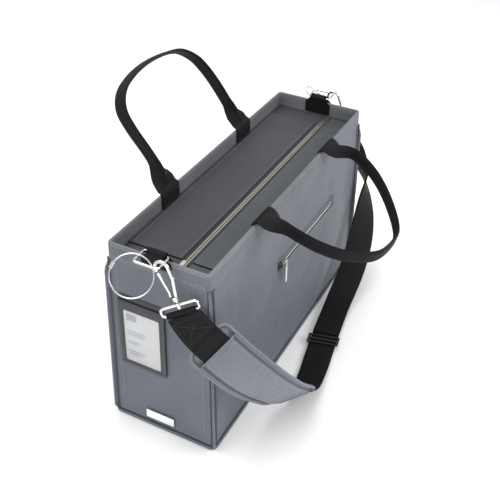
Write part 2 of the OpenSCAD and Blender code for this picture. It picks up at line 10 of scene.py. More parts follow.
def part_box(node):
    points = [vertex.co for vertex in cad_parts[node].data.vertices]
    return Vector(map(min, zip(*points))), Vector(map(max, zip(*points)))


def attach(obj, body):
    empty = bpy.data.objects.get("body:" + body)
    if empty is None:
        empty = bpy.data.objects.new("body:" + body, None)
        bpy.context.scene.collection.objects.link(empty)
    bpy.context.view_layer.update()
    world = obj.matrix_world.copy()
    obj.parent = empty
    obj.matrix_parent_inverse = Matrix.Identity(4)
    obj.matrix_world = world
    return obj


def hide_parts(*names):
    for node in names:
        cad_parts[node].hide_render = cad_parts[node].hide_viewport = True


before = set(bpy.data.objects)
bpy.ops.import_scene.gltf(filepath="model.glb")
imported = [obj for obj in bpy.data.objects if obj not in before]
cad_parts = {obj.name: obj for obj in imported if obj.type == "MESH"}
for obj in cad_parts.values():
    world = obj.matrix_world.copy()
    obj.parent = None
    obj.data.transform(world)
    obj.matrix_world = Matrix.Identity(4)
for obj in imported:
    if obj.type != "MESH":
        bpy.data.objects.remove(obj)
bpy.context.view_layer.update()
MM = 0.001
scene = bpy.context.scene


# ------------------------------------------------------------------ camera, light, floor

CAMERA_PLACE = (-0.809, -0.400, 0.808)
CAMERA_TURN = (-63.83, 36.41, 1.65)
CAMERA_LENS = 56.3


def place_camera():
    """Looks down on the ID end and the pocket side; the turn is azimuth, elevation and roll."""
    azimuth, elevation, roll = (math.radians(a) for a in CAMERA_TURN)
    back = Vector((math.sin(azimuth) * math.cos(elevation),
                   -math.cos(azimuth) * math.cos(elevation), math.sin(elevation)))
    right = (-back).cross(Vector((0, 0, 1))).normalized()
    up = right.cross(-back)
    right, up = (right * math.cos(roll) + up * math.sin(roll),
                 up * math.cos(roll) - right * math.sin(roll))
    data = bpy.data.cameras.new("camera")
    data.sensor_width = 36
    data.lens = CAMERA_LENS
    data.clip_start = 0.01
    camera = bpy.data.objects.new("camera", data)
    camera.matrix_world = (Matrix.Translation(Vector(CAMERA_PLACE))
                           @ Matrix((right, up, back)).transposed().to_4x4())
    scene.collection.objects.link(camera)
    scene.camera = camera


def area_light(name, place, target, size, power):
    """Square light at place, in metres, turned to target; power is in watts."""
    data = bpy.data.lights.new(name, "AREA")
    data.shape = "SQUARE"
    data.size = size
    data.energy = power
    light = bpy.data.objects.new(name, data)
    light.location = place
    light.rotation_euler = (Vector(target) - Vector(place)).to_track_quat("-Z", "Y").to_euler()
    scene.collection.objects.link(light)


place_camera()
scene.view_settings.view_transform = "Standard"
area_light("key", (0.6, -1.9, 1.3), (0, 0, 0.1), 1.2, 23)
area_light("top", (-0.3, 0.5, 2.2), (0, 0, 0.2), 2.0, 40)
area_light("end_fill", (-1.5, -0.5, 0.25), (-0.2, 0, 0.05), 0.9, 8)

world = bpy.data.worlds.new("studio")
scene.world = world
world.use_nodes = True
world.node_tree.nodes["Background"].inputs["Color"].default_value = (1, 1, 1, 1)
world.node_tree.nodes["Background"].inputs["Strength"].default_value = 0.75


# ------------------------------------------------------------------ materials

class Finish:
    """A node material being put together."""

    def __init__(self, name, colour, roughness, metallic=0.0, **sockets):
        self.material = bpy.data.materials.new(name)
        self.material.use_nodes = True
        self.tree = self.material.node_tree
        self.shader = self.tree.nodes["Principled BSDF"]
        self.colour = colour
        self.roughness = roughness
        self.set("Base Color", (*colour, 1))
        self.set("Roughness", roughness)
        self.set("Metallic", metallic)
        for socket, value in sockets.items():
            self.set(socket.replace("_", " "), value)
        self.relief = None

    def set(self, socket, value):
        self.shader.inputs[socket].default_value = value

    def node(self, kind, **settings):
        made = self.tree.nodes.new("ShaderNode" + kind)
        for key, value in settings.items():
            setattr(made, key, value)
        return made

    def link(self, source, target):
        self.tree.links.new(source, target)

    def combine(self, operation, *values):
        """Math node over numbers and other nodes' outputs."""
        made = self.node("Math", operation=operation)
        for slot, value in enumerate(values):
            if isinstance(value, (int, float)):
                made.inputs[slot].default_value = value
            else:
                self.link(value, made.inputs[slot])
        return made.outputs[0]

    def cloud(self, scale, detail=3.0, roughness=0.5):
        """Noise in the object's own coordinates; scale is per metre."""
        place = self.node("TexCoord")
        made = self.node("TexNoise")
        made.inputs["Scale"].default_value = scale
        made.inputs["Detail"].default_value = detail
        made.inputs["Roughness"].default_value = roughness
        self.link(place.outputs["Object"], made.inputs["Vector"])
        return made.outputs["Fac"]

    def threads(self, pitch_u, pitch_v, zigzag=0.0):
        """Over-and-under weave on the UV map, 0 to 1; pitches in metres."""
        place = self.node("TexCoord")
        split = self.node("SeparateXYZ")
        self.link(place.outputs["UV"], split.inputs[0])
        u, v = split.outputs[0], split.outputs[1]
        if zigzag:
            u = self.combine("ADD", u, self.combine("PINGPONG", v, zigzag))
        along = self.combine("SINE", self.combine("MULTIPLY", u, 2 * math.pi / pitch_u))
        across = self.combine("SINE", self.combine("MULTIPLY", v, 2 * math.pi / pitch_v))
        return self.combine("MULTIPLY_ADD", self.combine("MULTIPLY", along, across), 0.5, 0.5)

    def tint(self, factor, spread):
        """Varies the colour by plus or minus spread along factor."""
        ramp = self.node("ValToRGB")
        ramp.color_ramp.elements[0].position = 0.3
        ramp.color_ramp.elements[1].position = 0.7
        ramp.color_ramp.elements[0].color = (*(c * (1 - spread) for c in self.colour), 1)
        ramp.color_ramp.elements[1].color = (*(c * (1 + spread) for c in self.colour), 1)
        self.link(factor, ramp.inputs[0])
        self.link(ramp.outputs[0], self.shader.inputs["Base Color"])

    def gloss(self, factor, spread):
        """Varies the roughness by plus or minus spread along factor."""
        low = self.node("MapRange")
        low.inputs["To Min"].default_value = max(0.02, self.roughness - spread)
        low.inputs["To Max"].default_value = min(1.0, self.roughness + spread)
        self.link(factor, low.inputs["Value"])
        self.link(low.outputs[0], self.shader.inputs["Roughness"])

    def bump(self, height, depth_mm):
        """Relief of the given depth, laid over the relief that is there already."""
        made = self.node("Bump")
        made.inputs["Strength"].default_value = 1.0
        made.inputs["Distance"].default_value = depth_mm * MM
        self.link(height, made.inputs["Height"])
        if self.relief is not None:
            self.link(self.relief, made.inputs["Normal"])
        self.relief = made.outputs[0]
        self.link(self.relief, self.shader.inputs["Normal"])


def cloth(name, colour, roughness=0.5, pitch=0.9, weave=0.10, crumple=4.0):
    """Coated cloth; pitch, weave and crumple are its thread pitch and relief depths, in mm."""
    f = Finish(name, colour, roughness)
    f.set("Sheen Weight", 0.08)
    f.set("Sheen Roughness", 0.5)
    f.bump(f.cloud(30, 6), crumple)
    f.bump(f.cloud(900, 2), 0.05)
    f.bump(f.threads(pitch * MM, pitch * MM), weave)
    f.tint(f.cloud(9, 6), 0.16)
    f.gloss(f.cloud(40, 4), 0.08)
    return f.material


def belt(name, colour):
    """Ribbed webbing in a chevron weave."""
    f = Finish(name, colour, 0.6)
    f.set("Specular IOR Level", 0.16)
    f.bump(f.threads(2.2 * MM, 1.6 * MM, 4.0 * MM), 0.22)
    f.bump(f.cloud(1200, 2), 0.05)
    f.tint(f.cloud(60, 4), 0.15)
    f.gloss(f.cloud(80, 3), 0.08)
    return f.material


def metal(name, colour, roughness, grain=0.03, scratch=300):
    """Bright metal; grain is its relief in mm, scratch how many marks to the metre."""
    f = Finish(name, colour, roughness, metallic=1.0)
    f.bump(f.cloud(scratch, 3), grain)
    f.gloss(f.cloud(120, 4), roughness * 0.35)
    f.tint(f.cloud(50, 2), 0.04)
    return f.material


def moulded(name, colour, roughness, grain=None, tint=None, gloss=None, **sockets):
    """Plastic, card or ink: grain is (scale, detail, depth in mm), the others (scale, spread)."""
    f = Finish(name, colour, roughness, **sockets)
    if grain:
        f.bump(f.cloud(grain[0], grain[1]), grain[2])
    if tint:
        f.tint(f.cloud(tint[0]), tint[1])
    if gloss:
        f.gloss(f.cloud(gloss[0]), gloss[1])
    return f.material


SHELL_CLOTH = cloth("coated_bag_cloth", (0.091, 0.101, 0.126))
FLAP_CLOTH = cloth("front_flap_cloth", (0.038, 0.043, 0.050))
# Shell cloth made lighter for the rim and its facing: painted light, where the facing lies in
# shade.
LIT_RIM_CLOTH = cloth("rim_facing_cloth_with_painted_light", (0.125, 0.130, 0.146))
DARK_CLOTH = cloth("dark_closure_cloth", (0.026, 0.0255, 0.032), 0.55)
# Dark lining cloth; the same dark colour also paints the shade on the thin tubes in the corner and
# pad seams.
LINING_AND_SHADE_CLOTH = cloth("lining_and_painted_shade_cloth", (0.045, 0.046, 0.052), 0.7, 1.2, 0.12)
PAD_CLOTH = cloth("pad_cloth", (0.134, 0.147, 0.174), 0.62, 1.1, 0.12, 2.5)
WEBBING = belt("black_webbing", (0.0055, 0.0055, 0.0065))
ZIP_TAPE = cloth("zip_tape", (0.014, 0.014, 0.015), 0.75, 1.0, 0.16, 0.1)
THREAD = cloth("grey_thread", (0.25, 0.26, 0.28), 0.6, 0.4, 0.05, 0.0)
DARK_THREAD = cloth("black_thread", (0.02, 0.02, 0.021), 0.6, 0.4, 0.05, 0.0)
CHROME = metal("bright_nickel", (0.74, 0.73, 0.71), 0.16)
ZIP_METAL = metal("satin_zip_metal", (0.72, 0.705, 0.65), 0.32, 0.05)
CABLE = metal("steel_cable", (0.62, 0.62, 0.62), 0.28, 0.12, 1400)
BUCKLE = moulded("black_buckle", (0.02, 0.02, 0.021), 0.35, (700, 3, 0.05), gloss=(90, 0.08))
VINYL = moulded("dark_vinyl", (0.022, 0.023, 0.028), 0.42, (420, 4, 0.12), (30, 0.1), (60, 0.08))
WINDOW = moulded("clear_window", (0.93, 0.95, 0.97), 0.06, (45, 2, 0.25), Alpha=0.16)
CARD = moulded("white_card", (0.40, 0.405, 0.405), 0.4, (900, 3, 0.01), (60, 0.02))
INK = moulded("grey_ink", (0.09, 0.1, 0.12), 0.5, tint=(300, 0.1))
LABEL = moulded("label_plastic", (0.80, 0.80, 0.79), 0.3, (200, 2, 0.04), gloss=(120, 0.08))
FLOOR = moulded("pale_floor", (0.86, 0.86, 0.86), 0.75, tint=(3, 0.01))


# ------------------------------------------------------------------ mesh helpers

def cad(node):
    """Low and high corner of a CAD node's box, in millimetres."""
    low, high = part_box(node)
    return Vector(low) / MM, Vector(high) / MM


def publish(mesh, material, body, slot, *replaced):
    """Object of the mesh's own name that rides a body and stands for the replaced nodes."""
    made = bpy.data.objects.new(mesh.name, mesh)
    mesh.materials.append(material)
    scene.collection.objects.link(made)
    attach(made, body)
    if replaced:
        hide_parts(*replaced)
    return made


def tidy_mesh(bm, sharp):
    """Merges, turns the faces outwards, and shades smooth over edges flatter than sharp."""
    bmesh.ops.remove_doubles(bm, verts=bm.verts, dist=1e-6)
    bmesh.ops.dissolve_degenerate(bm, edges=bm.edges, dist=1e-6)
    bmesh.ops.recalc_face_normals(bm, faces=bm.faces)
    for face in bm.faces:
        face.smooth = True
    for edge in bm.edges:
        if len(edge.link_faces) == 2:
            edge.smooth = edge.calc_face_angle(0) < math.radians(sharp)


def run_lengths(steps):
    """Running total of the steps, from 0, in metres."""
    total = [0.0]
    for step in steps:
        total.append(total[-1] + step * MM)
    return total


def loft_mesh(name, rows, ring=True, cap=True, tag=None, sharp=38):
    """Mesh through rows of points in millimetres; UVs are metres along and across.

    A ring closes each row on itself, and a cap closes the first and last of them.
    tag(row, column) gives a face its material's number.
    """
    n = len(rows[0])
    bm = bmesh.new()
    uv = bm.loops.layers.uv.new("UVMap")
    grid = [[bm.verts.new(p * MM) for p in row] for row in rows]
    if ring:
        us = run_lengths(max((p - q).length for p, q in zip(a, b)) for a, b in zip(rows, rows[1:]))
    else:
        centres = [sum(row, Vector()) / n for row in rows]
        us = run_lengths((b - a).length for a, b in zip(centres, centres[1:]))
    widest = max(rows, key=lambda row: sum((a - b).length for a, b in zip(row, row[1:])))
    vs = run_lengths((widest[i] - widest[(i + 1) % n]).length for i in range(n))
    for j in range(len(rows) - 1):
        for i in range(n if ring else n - 1):
            k = (i + 1) % n
            face = bm.faces.new((grid[j][i], grid[j][k], grid[j + 1][k], grid[j + 1][i]))
            if tag:
                face.material_index = tag(j, i)
            spots = ((us[j], vs[i]), (us[j], vs[i + 1]), (us[j + 1], vs[i + 1]), (us[j + 1], vs[i]))
            for loop, spot in zip(face.loops, spots):
                loop[uv].uv = spot
    if cap and ring:
        for j in (0, len(rows) - 1):
            face = bm.faces.new(grid[j])
            if tag:
                face.material_index = tag(min(j, len(rows) - 2), 0)
            for loop in face.loops:
                loop[uv].uv = (loop.vert.co.x, loop.vert.co.y + loop.vert.co.z)
    tidy_mesh(bm, sharp)
    mesh = bpy.data.meshes.new(name)
    bm.to_mesh(mesh)
    bm.free()
    return mesh


def live(made, *modifiers):
    """Applies modifiers, given as (kind, {settings}), and leaves a plain mesh."""
    for kind, settings in modifiers:
        modifier = made.modifiers.new(kind.lower(), kind)
        for key, value in settings.items():
            setattr(modifier, key, value)
    graph = bpy.context.evaluated_depsgraph_get()
    mesh = bpy.data.meshes.new_from_object(made.evaluated_get(graph))
    made.modifiers.clear()
    made.data = mesh


STRIP_POINTS = 9


def spline(points, u):
    """Point at u, in steps of one point, on a smooth curve through the points."""
    last = len(points) - 1
    i = min(int(u), last - 1)
    t = u - i
    b, c = Vector(points[i]), Vector(points[i + 1])
    a = Vector(points[i - 1]) if i else 2 * b - c
    d = Vector(points[i + 2]) if i + 2 <= last else 2 * c - b
    return 0.5 * (2 * b + (c - a) * t + (2 * a - 5 * b + 4 * c - d) * t * t
                  + (3 * b - a - 3 * c + d) * t * t * t)


def flat_strip(half, thick):
    """Profile of a band as (across, out) points, its edges rounded."""
    top, bottom = [], []
    for k in range(STRIP_POINTS):
        t = -1 + 2 * k / (STRIP_POINTS - 1)
        edge = 0.55 if k in (0, STRIP_POINTS - 1) else 1.0
        top.append((t * half, edge * thick / 2))
        bottom.append((t * half, -edge * thick / 2))
    return bottom + top[::-1]


def carry(profile, stations):
    """Rows of the profile at stations of (centre, across, out)."""
    return [[c + w * q[0] + o * q[1] for q in profile] for c, w, o in stations]


def row_tree(name, kind):
    """Geometry Nodes: repeats a stitch or a zip tooth along an edge path."""
    tree = bpy.data.node_groups.new(name, "GeometryNodeTree")
    face = tree.interface
    face.new_socket("Path", in_out="INPUT", socket_type="NodeSocketGeometry")
    for label, value in (("Spacing", 0.0036), ("Length", 0.0026), ("Width", 0.0008),
                         ("Height", 0.0006)):
        face.new_socket(label, in_out="INPUT", socket_type="NodeSocketFloat").default_value = value
    face.new_socket("Finish", in_out="INPUT", socket_type="NodeSocketMaterial")
    face.new_socket("Row", in_out="OUTPUT", socket_type="NodeSocketGeometry")
    new, link = tree.nodes.new, tree.links.new
    start, end = new("NodeGroupInput"), new("NodeGroupOutput")
    curve, points = new("GeometryNodeMeshToCurve"), new("GeometryNodeCurveToPoints")
    points.mode = "LENGTH"
    if kind == "stitch":
        unit = new("GeometryNodeMeshIcoSphere")
        unit.inputs["Radius"].default_value = 0.5
        unit.inputs["Subdivisions"].default_value = 1
    else:
        unit = new("GeometryNodeMeshCylinder")
        unit.inputs["Vertices"].default_value = 8
        unit.inputs["Radius"].default_value = 0.54
        unit.inputs["Depth"].default_value = 1
    size = new("ShaderNodeCombineXYZ")
    copies, real = new("GeometryNodeInstanceOnPoints"), new("GeometryNodeRealizeInstances")
    paint = new("GeometryNodeSetMaterial")
    link(start.outputs["Path"], curve.inputs["Mesh"])
    link(curve.outputs["Curve"], points.inputs["Curve"])
    link(start.outputs["Spacing"], points.inputs["Length"])
    link(points.outputs["Points"], copies.inputs["Points"])
    link(points.outputs["Rotation"], copies.inputs["Rotation"])
    link(unit.outputs["Mesh"], copies.inputs["Instance"])
    for axis, label in (("X", "Height"), ("Y", "Width"), ("Z", "Length")):
        link(start.outputs[label], size.inputs[axis])
    link(size.outputs[0], copies.inputs["Scale"])
    link(copies.outputs[0], real.inputs[0])
    link(real.outputs[0], paint.inputs[0])
    link(start.outputs["Finish"], paint.inputs["Material"])
    link(paint.outputs[0], end.inputs[0])
    return tree


STITCH = row_tree("stitch_row", "stitch")
TOOTH = row_tree("tooth_row", "tooth")


def repeat_rows(name, tree, paths, body, slot, material, **sizes):
    """One mesh of stitches or teeth along each path of millimetre points."""
    mesh = bpy.data.meshes.new(name)
    verts, edges = [], []
    for path in paths:
        first = len(verts)
        verts += [Vector(p) * MM for p in path]
        edges += [(first + k, first + k + 1) for k in range(len(path) - 1)]
    mesh.from_pydata(verts, edges, [])
    made = bpy.data.objects.new(name, mesh)
    scene.collection.objects.link(made)
    modifier = made.modifiers.new("row", "NODES")
    modifier.node_group = tree
    for item in tree.interface.items_tree:
        if item.in_out == "INPUT" and item.name in sizes:
            modifier[item.identifier] = sizes[item.name] * MM
        if item.in_out == "INPUT" and item.name == "Finish":
            modifier[item.identifier] = material
    live(made)
    if not made.data.materials:
        made.data.materials.append(material)
    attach(made, body)
    return made


# ------------------------------------------------------------------ the shell

BASE_X, BASE_Y, RIM_X, RIM_Y, HIGH = 235.0, 74.0, 231.5, 68.0, 280.0
FRONT, RIGHT, BACK, LEFT = range(4)
SIDE_STEPS = {FRONT: 72, RIGHT: 26, BACK: 72, LEFT: 26}
CORNERS = ((-1, -1), (1, -1), (1, 1), (-1, 1))
CORNER_STEPS = 4
HOLDER = (-10, 60, 95, 214)
POCKET_Z, POCKET_ENDS = 170.0, (-45, 139)
HANDLE_FEET = (-100, 100)
WALL_TOP = 268
END_DIP, ZIP_DIP, CREASE_DIP = 7.5, 0.9, 2.2
SEAM_TOP = 257
UP = Vector((0, 0, 1))


def half_x(z):
    """Half the bag's length at height z."""
    return BASE_X - (BASE_X - RIM_X) * z / HIGH


def half_y(z):
    """Half the bag's depth at height z."""
    return BASE_Y - (BASE_Y - RIM_Y) * z / HIGH


def near_box(a, b, box, fall):
    """1 inside box (low a, high a, low b, high b), fading to 0 over fall outside it."""
    gap = max(box[0] - a, a - box[1], box[2] - b, b - box[3], 0)
    return max(0.0, 1 - gap / fall)


def sink(side, t, z):
    """How far the soft wall leaves its flat plane, outwards; t runs from -1 to 1 along it.

    The end walls sag between their seams, the left one not under its card pocket. The front
    wall dips along its zip, and a crease runs from each handle's foot to an end of the zip.
    """
    up = math.sin(math.pi * min(max(z, 0) / WALL_TOP, 1))
    wave = noise.noise(Vector((t * 3.1 + 9 * side, z / 70, side * 5.0)))
    fine = noise.noise(Vector((t * 9 + 4 * side, z / 24, side * 3.0)))
    edge = 1 - t * t
    if side in (RIGHT, LEFT):
        deep = -END_DIP * up * edge ** 0.8
        if side == LEFT:
            deep *= 1 - near_box(-t * half_y(z), z, HOLDER, 26)
        return deep + up * (1.3 * wave + 0.5 * fine) * edge
    amount = up * (1.9 * wave + 0.6 * fine) * min(1, 4 * edge)
    if side == FRONT:
        x = t * half_x(z)
        along_zip = near_box(x, 0, (*POCKET_ENDS, -1, 1), 14)
        amount -= ZIP_DIP * math.exp(-((z - POCKET_Z) / 5) ** 2) * along_zip
        share = min(max((HIGH - z) / (HIGH - POCKET_Z), 0), 1)
        for foot, end in zip(HANDLE_FEET, POCKET_ENDS):
            if z > POCKET_Z - 5:
                crease = foot + (end - foot) * share
                amount -= CREASE_DIP * math.exp(-((x - crease) / 3.0) ** 2) * up
    return amount - up * edge


def outline(z, inset, softness=1.0, corner=5.0):
    """Ring of points round the bag at height z, inset from its outer face.

    softness is the share of the walls' sag and waves that the ring follows.
    """
    sx, sy = half_x(z) - inset, half_y(z) - inset
    r = max(corner - inset * 0.6, 1.2)
    ring = []
    for side, along, out, reach, away in (
            (FRONT, (1, 0), (0, -1), sx - r, sy), (RIGHT, (0, 1), (1, 0), sy - r, sx),
            (BACK, (-1, 0), (0, 1), sx - r, sy), (LEFT, (0, -1), (-1, 0), sy - r, sx)):
        along, out = Vector(along), Vector(out)
        count = SIDE_STEPS[side]
        for k in range(count + 1):
            t = -1 + 2 * k / count
            p = along * (t * reach) + out * (away + softness * sink(side, t, z))
            ring.append(Vector((p.x, p.y, z)))
        centre = along * reach + out * (away - r)
        for k in range(1, CORNER_STEPS):
            a = math.pi / 2 * k / CORNER_STEPS
            p = centre + out * (r * math.cos(a)) + along * (r * math.sin(a))
            ring.append(Vector((p.x, p.y, z)))
    return ring


RIM_PROFILE = ((278.6, 0.25), (279.7, 1.0), (280.1, 2.1), (279.6, 3.4), (278, 4.0), (273, 4.1),
               (266, 4.1), (260.6, 4.1))
LINING_PROFILE = ((260.0, 4.6), (258.5, 5.1), (250, 5.1), (220, 5.1), (180, 5.1), (140, 5.1),
                  (100, 5.1), (60, 5.1), (25, 5.1), (9, 5.3), (6, 7), (5.2, 12), (5.2, 40))


def make_shell():
    """Underside, outer walls, rim and lining in one loft, from the outside in."""
    wall_foot, wall_head, wall_steps = 2.6, 276, 45
    rows = [outline(0.4, 30, 0, 20), outline(0.4, 4, 0), outline(1.0, 1.4, 0),
            outline(wall_foot, 0.3)]
    rows += [outline(wall_foot + (wall_head - wall_foot) * k / wall_steps, 0)
             for k in range(1, wall_steps + 1)]
    finishes = [0] * len(rows)
    for number, profile in ((1, RIM_PROFILE), (2, LINING_PROFILE)):
        rows += [outline(z, inset) for z, inset in profile]
        finishes += [number] * len(profile)
    mesh = loft_mesh("bag_shell", rows, tag=lambda j, i: finishes[j + 1])
    publish(mesh, SHELL_CLOTH, "bag", "shell fabric",
            "bottom_panel", "base_board", "front_panel", "back_panel", "left_end_panel",
            "right_end_panel", "front_board", "back_board", "front_rim_hem", "back_rim_hem",
            "left_rim_hem", "right_rim_hem")
    # The rim rows take the lighter rim cloth, painted light on the facing.
    mesh.materials.append(LIT_RIM_CLOTH)
    mesh.materials.append(LINING_AND_SHADE_CLOTH)


def tube_rows(points, radius, sides=10, up=UP):
    """Rows of a round tube along the points."""
    rows = []
    for k, p in enumerate(points):
        before, after = points[max(k - 1, 0)], points[min(k + 1, len(points) - 1)]
        along = (after - before).normalized()
        side = along.cross(up)
        if side.length < 0.1:
            side = along.cross(Vector((1, 0, 0)))
        side.normalize()
        rise = side.cross(along)
        turns = [2 * math.pi * q / sides for q in range(sides)]
        rows.append([p + side * (radius * math.cos(a)) + rise * (radius * math.sin(a))
                     for a in turns])
    return rows


def sewn_tube(name, line, radius, sides, material, body, slot, up=UP, cap=True):
    """Piping, a ridge, or a dark tube that paints the shade of a sunk seam, along a line."""
    mesh = loft_mesh(name, tube_rows(line, radius, sides, up), cap=cap, sharp=70)
    publish(mesh, material, body, slot)


# Section of a pinched corner: (share of the reach, across).
PINCH = ((0, -1.9), (0.45, -1.25), (0.72, -1.2), (0.9, -1.85), (1.12, -1.75), (1.25, -0.9),
         (1.28, 0), (1.25, 0.9), (1.12, 1.75), (0.9, 1.85), (0.72, 1.2), (0.45, 1.25), (0, 1.9))


def corner_stations(index, sx, sy):
    """(foot, outward, sideways, reach, wobble) from the bottom to the top of a corner."""
    out = Vector((sx, sy, 0)).normalized()
    side = Vector((-out.y, out.x, 0))
    stations = []
    for k in range(41):
        z = 3.5 + (SEAM_TOP - 3.5) * k / 40
        fade = max(min(1, (SEAM_TOP - z) / 16, (z - 1) / 6), 0.15)
        wobble = 0.5 * noise.noise(Vector((z / 40, index * 7.0, 0)))
        foot = Vector((sx * (half_x(z) - 2.2), sy * (half_y(z) - 2.2), z))
        stations.append((foot, out, side, 1 + 5.0 * fade, wobble))
    return stations


def ridge_line(sx, sy, away):
    """Line up a long wall, this far from its corner."""
    line = []
    for k in range(41):
        z = 4 + 252 * k / 40
        t = 1 - away / half_x(z)
        wall = half_y(z) + sink(FRONT if sy < 0 else BACK, -sx * sy * t, z) + 0.1
        line.append(Vector((sx * t * half_x(z), sy * wall, z)))
    return line


def make_corner(index, sx, sy):
    """Pinched, piped corner with dark tubes of painted shade in its creases, and its ridges;
    returns its stitch lines.
    """
    stations = corner_stations(index, sx, sy)
    rows = [[foot + out * (a * reach) + side * (b + wobble) for a, b in PINCH]
            for foot, out, side, reach, wobble in stations]
    piping = ("corner_piping",) if index == 0 else ()
    publish(loft_mesh(f"corner_seam_{index}", rows, sharp=60), SHELL_CLOTH, "bag",
            "shell fabric", *piping)
    stitch_lines = []
    # Each row: a dark tube of lining cloth beside the piping, painted shade in the crease there,
    # and a ridge up the long wall; the second row's ridge is a thin dark line of lining cloth,
    # painted shade beside the piping.
    for label, shift, away, radius, finish, along, face in (
            ("a", -1, 9.2, 1.5, SHELL_CLOTH, Vector((-sx, 0, 0)), Vector((0, sy, 0))),
            ("b", 1, 6.2, 0.55, LINING_AND_SHADE_CLOTH, Vector((0, -sy, 0)), Vector((sx, 0, 0)))):
        painted_shade = [foot + out * 2.4 + side * (shift * 2.3) for foot, out, side, _, _ in stations]
        sewn_tube(f"corner_shadow_{index}_{label}", painted_shade, 0.75, 6, LINING_AND_SHADE_CLOTH, "bag",
                  "shell fabric")
        sewn_tube(f"corner_ridge_{index}_{label}", ridge_line(sx, sy, away), radius, 8, finish,
                  "bag", "shell fabric")
        heights = [8 + 246 * k / 29 for k in range(30)]
        stitch_lines.append([Vector((sx * half_x(z), sy * half_y(z), z)) + along * 12.5
                             + face * 0.1 for z in heights])
    return stitch_lines


def base_ring():
    """Closed path of the piping round the base."""
    bend, off, z = 6, 1.6, 2.3
    x, y = BASE_X - bend, BASE_Y - bend
    arcs = []
    for cx, cy, start in ((1, -1, -90), (1, 1, 0), (-1, 1, 90), (-1, -1, 180)):
        turns = [math.radians(start + 90 * k / 6) for k in range(7)]
        arcs.append([Vector((cx * x + (bend + off) * math.cos(a),
                             cy * y + (bend + off) * math.sin(a), z)) for a in turns])
    ring = []
    for arc, following, steps in zip(arcs, arcs[1:] + arcs[:1], (24, 60, 24, 60)):
        ring += arc
        ring += [arc[-1].lerp(following[0], k / steps) for k in range(1, steps)]
    return ring + [ring[0].copy()]


def wall_lines(z):
    """Stitch lines round the outside of the shell at height z."""
    proud, end_gap = 0.13, 5
    lines = []
    for side, count in SIDE_STEPS.items():
        line = []
        for k in range(count + 1):
            t = (-1 + 2 * k / count) * 0.965
            move = sink(side, t, z) + proud
            if side in (FRONT, BACK):
                x, y = t * (half_x(z) - end_gap), half_y(z) + move
                line.append(Vector((x, -y, z) if side == FRONT else (-x, y, z)))
            else:
                x, y = half_x(z) + move, t * (half_y(z) - end_gap)
                line.append(Vector((x, y, z) if side == RIGHT else (-x, -y, z)))
        lines.append(line)
    return lines


def make_seams():
    """Corner seams, the piping round the base, and the stitches of both and of the rim."""
    stitch_lines = []
    for index, (sx, sy) in enumerate(CORNERS):
        stitch_lines += make_corner(index, sx, sy)
    mesh = loft_mesh("base_seam", tube_rows(base_ring(), 1.9), cap=False, sharp=60)
    publish(mesh, SHELL_CLOTH, "bag", "shell fabric", "base_piping")
    for z in (8.5, 258.6, 261.4, 276.5):
        stitch_lines += wall_lines(z)
    repeat_rows("shell_stitches", STITCH, stitch_lines, "bag", "shell fabric", THREAD,
                Spacing=4.0, Length=3.0, Width=1.0, Height=0.7)


make_shell()
make_seams()


# ------------------------------------------------------------------ zipped closure

teeth_low, teeth_high = cad("front_zip_teeth")
ZIP_Y = (teeth_high.y + cad("back_zip_teeth")[0].y) / 2
TOOTH_Y = 1.85
TAPE_Y = (3.6, 15.2)
FLAP_EDGE = 7.6
TOOTH_SIZE = {"Spacing": 2.4, "Length": 1.85, "Width": 3.1, "Height": 2.5}


def make_flap(label, side, material, slot):
    """One half of the closure, from its ledge to the zip; side is -1 at the front, 1 behind."""
    node = label + "_flap"
    low, high = cad(node)
    hinge = high.y if side > 0 else low.y
    edge = ZIP_Y + FLAP_EDGE * side
    rows = []
    nx, ny = 60, 18
    for i in range(nx + 1):
        x = low.x + (high.x - low.x) * i / nx
        row = []
        for j in range(ny + 1):
            t = j / ny
            y = hinge + (edge - hinge) * t
            soft = math.sin(math.pi * t) * min(1, i / 4, (nx - i) / 4)
            lift = soft * (1.2 * noise.noise(Vector((x / 60, y / 30, 3.3)))
                           + 0.4 * noise.noise(Vector((x / 18, y / 14, 7.7)))) - 0.6 * soft
            row.append(Vector((x, y, high.z - 0.9 + lift)))
        rows.append(row)
    mesh = loft_mesh(label + "_flap_cloth", rows, ring=False, cap=False)
    made = publish(mesh, material, node, slot, node)
    live(made, ("SOLIDIFY", {"thickness": 1.5 * MM, "offset": 0.0}),
         ("BEVEL", {"width": 0.4 * MM, "segments": 2, "limit_method": "ANGLE"}))
    across = [low.x + 4 + (high.x - low.x - 8) * k / 40 for k in range(41)]
    lines = [[Vector((x, y, high.z + 0.1)) for x in across]
             for y in (edge + 2.2 * side, hinge - 3.2 * side)]
    repeat_rows(label + "_flap_cloth_stitches", STITCH, lines, node, slot, THREAD,
                Spacing=3.4, Length=2.5, Width=0.8, Height=0.5)


def make_zip_half(label, side):
    """Tape and metal teeth on a flap's edge."""
    body = label + "_flap"
    z = cad(label + "_zip_tape")[0].z + 0.45
    x0, x1 = teeth_low.x, teeth_high.x
    inner, outer = TAPE_Y
    rows = []
    for k in range(61):
        x = x0 + (x1 - x0) * k / 60
        ripple = 0.12 * math.sin(x / 3.1)
        rows.append([Vector((x, ZIP_Y + side * (inner + (outer - inner) * a), z + b + ripple))
                     for a, b in ((0, -0.3), (0.5, -0.35), (1, -0.2), (1, 0.2), (0.5, 0.35),
                                  (0, 0.3))])
    publish(loft_mesh(label + "_zip_tape", rows, sharp=60), ZIP_TAPE, body, "zip tape",
            label + "_zip_tape")
    y = ZIP_Y + side * TOOTH_Y
    path = [Vector((x0 + 0.8 + 0.65 * side, y, z)), Vector((x1 - 0.8, y, z))]
    made = repeat_rows(label + "_zip_teeth", TOOTH, [path], body, "zip metal", ZIP_METAL,
                       **TOOTH_SIZE)
    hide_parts(label + "_zip_teeth")


# Section of a gusset or tail: (share of its width, height).
FLAT_HEM = ((0, -0.3), (0.1, -0.4), (0.5, -0.4), (0.9, -0.4), (1, -0.3), (1, 0.3), (0.9, 0.4),
            (0.5, 0.4), (0.1, 0.4), (0, 0.3))


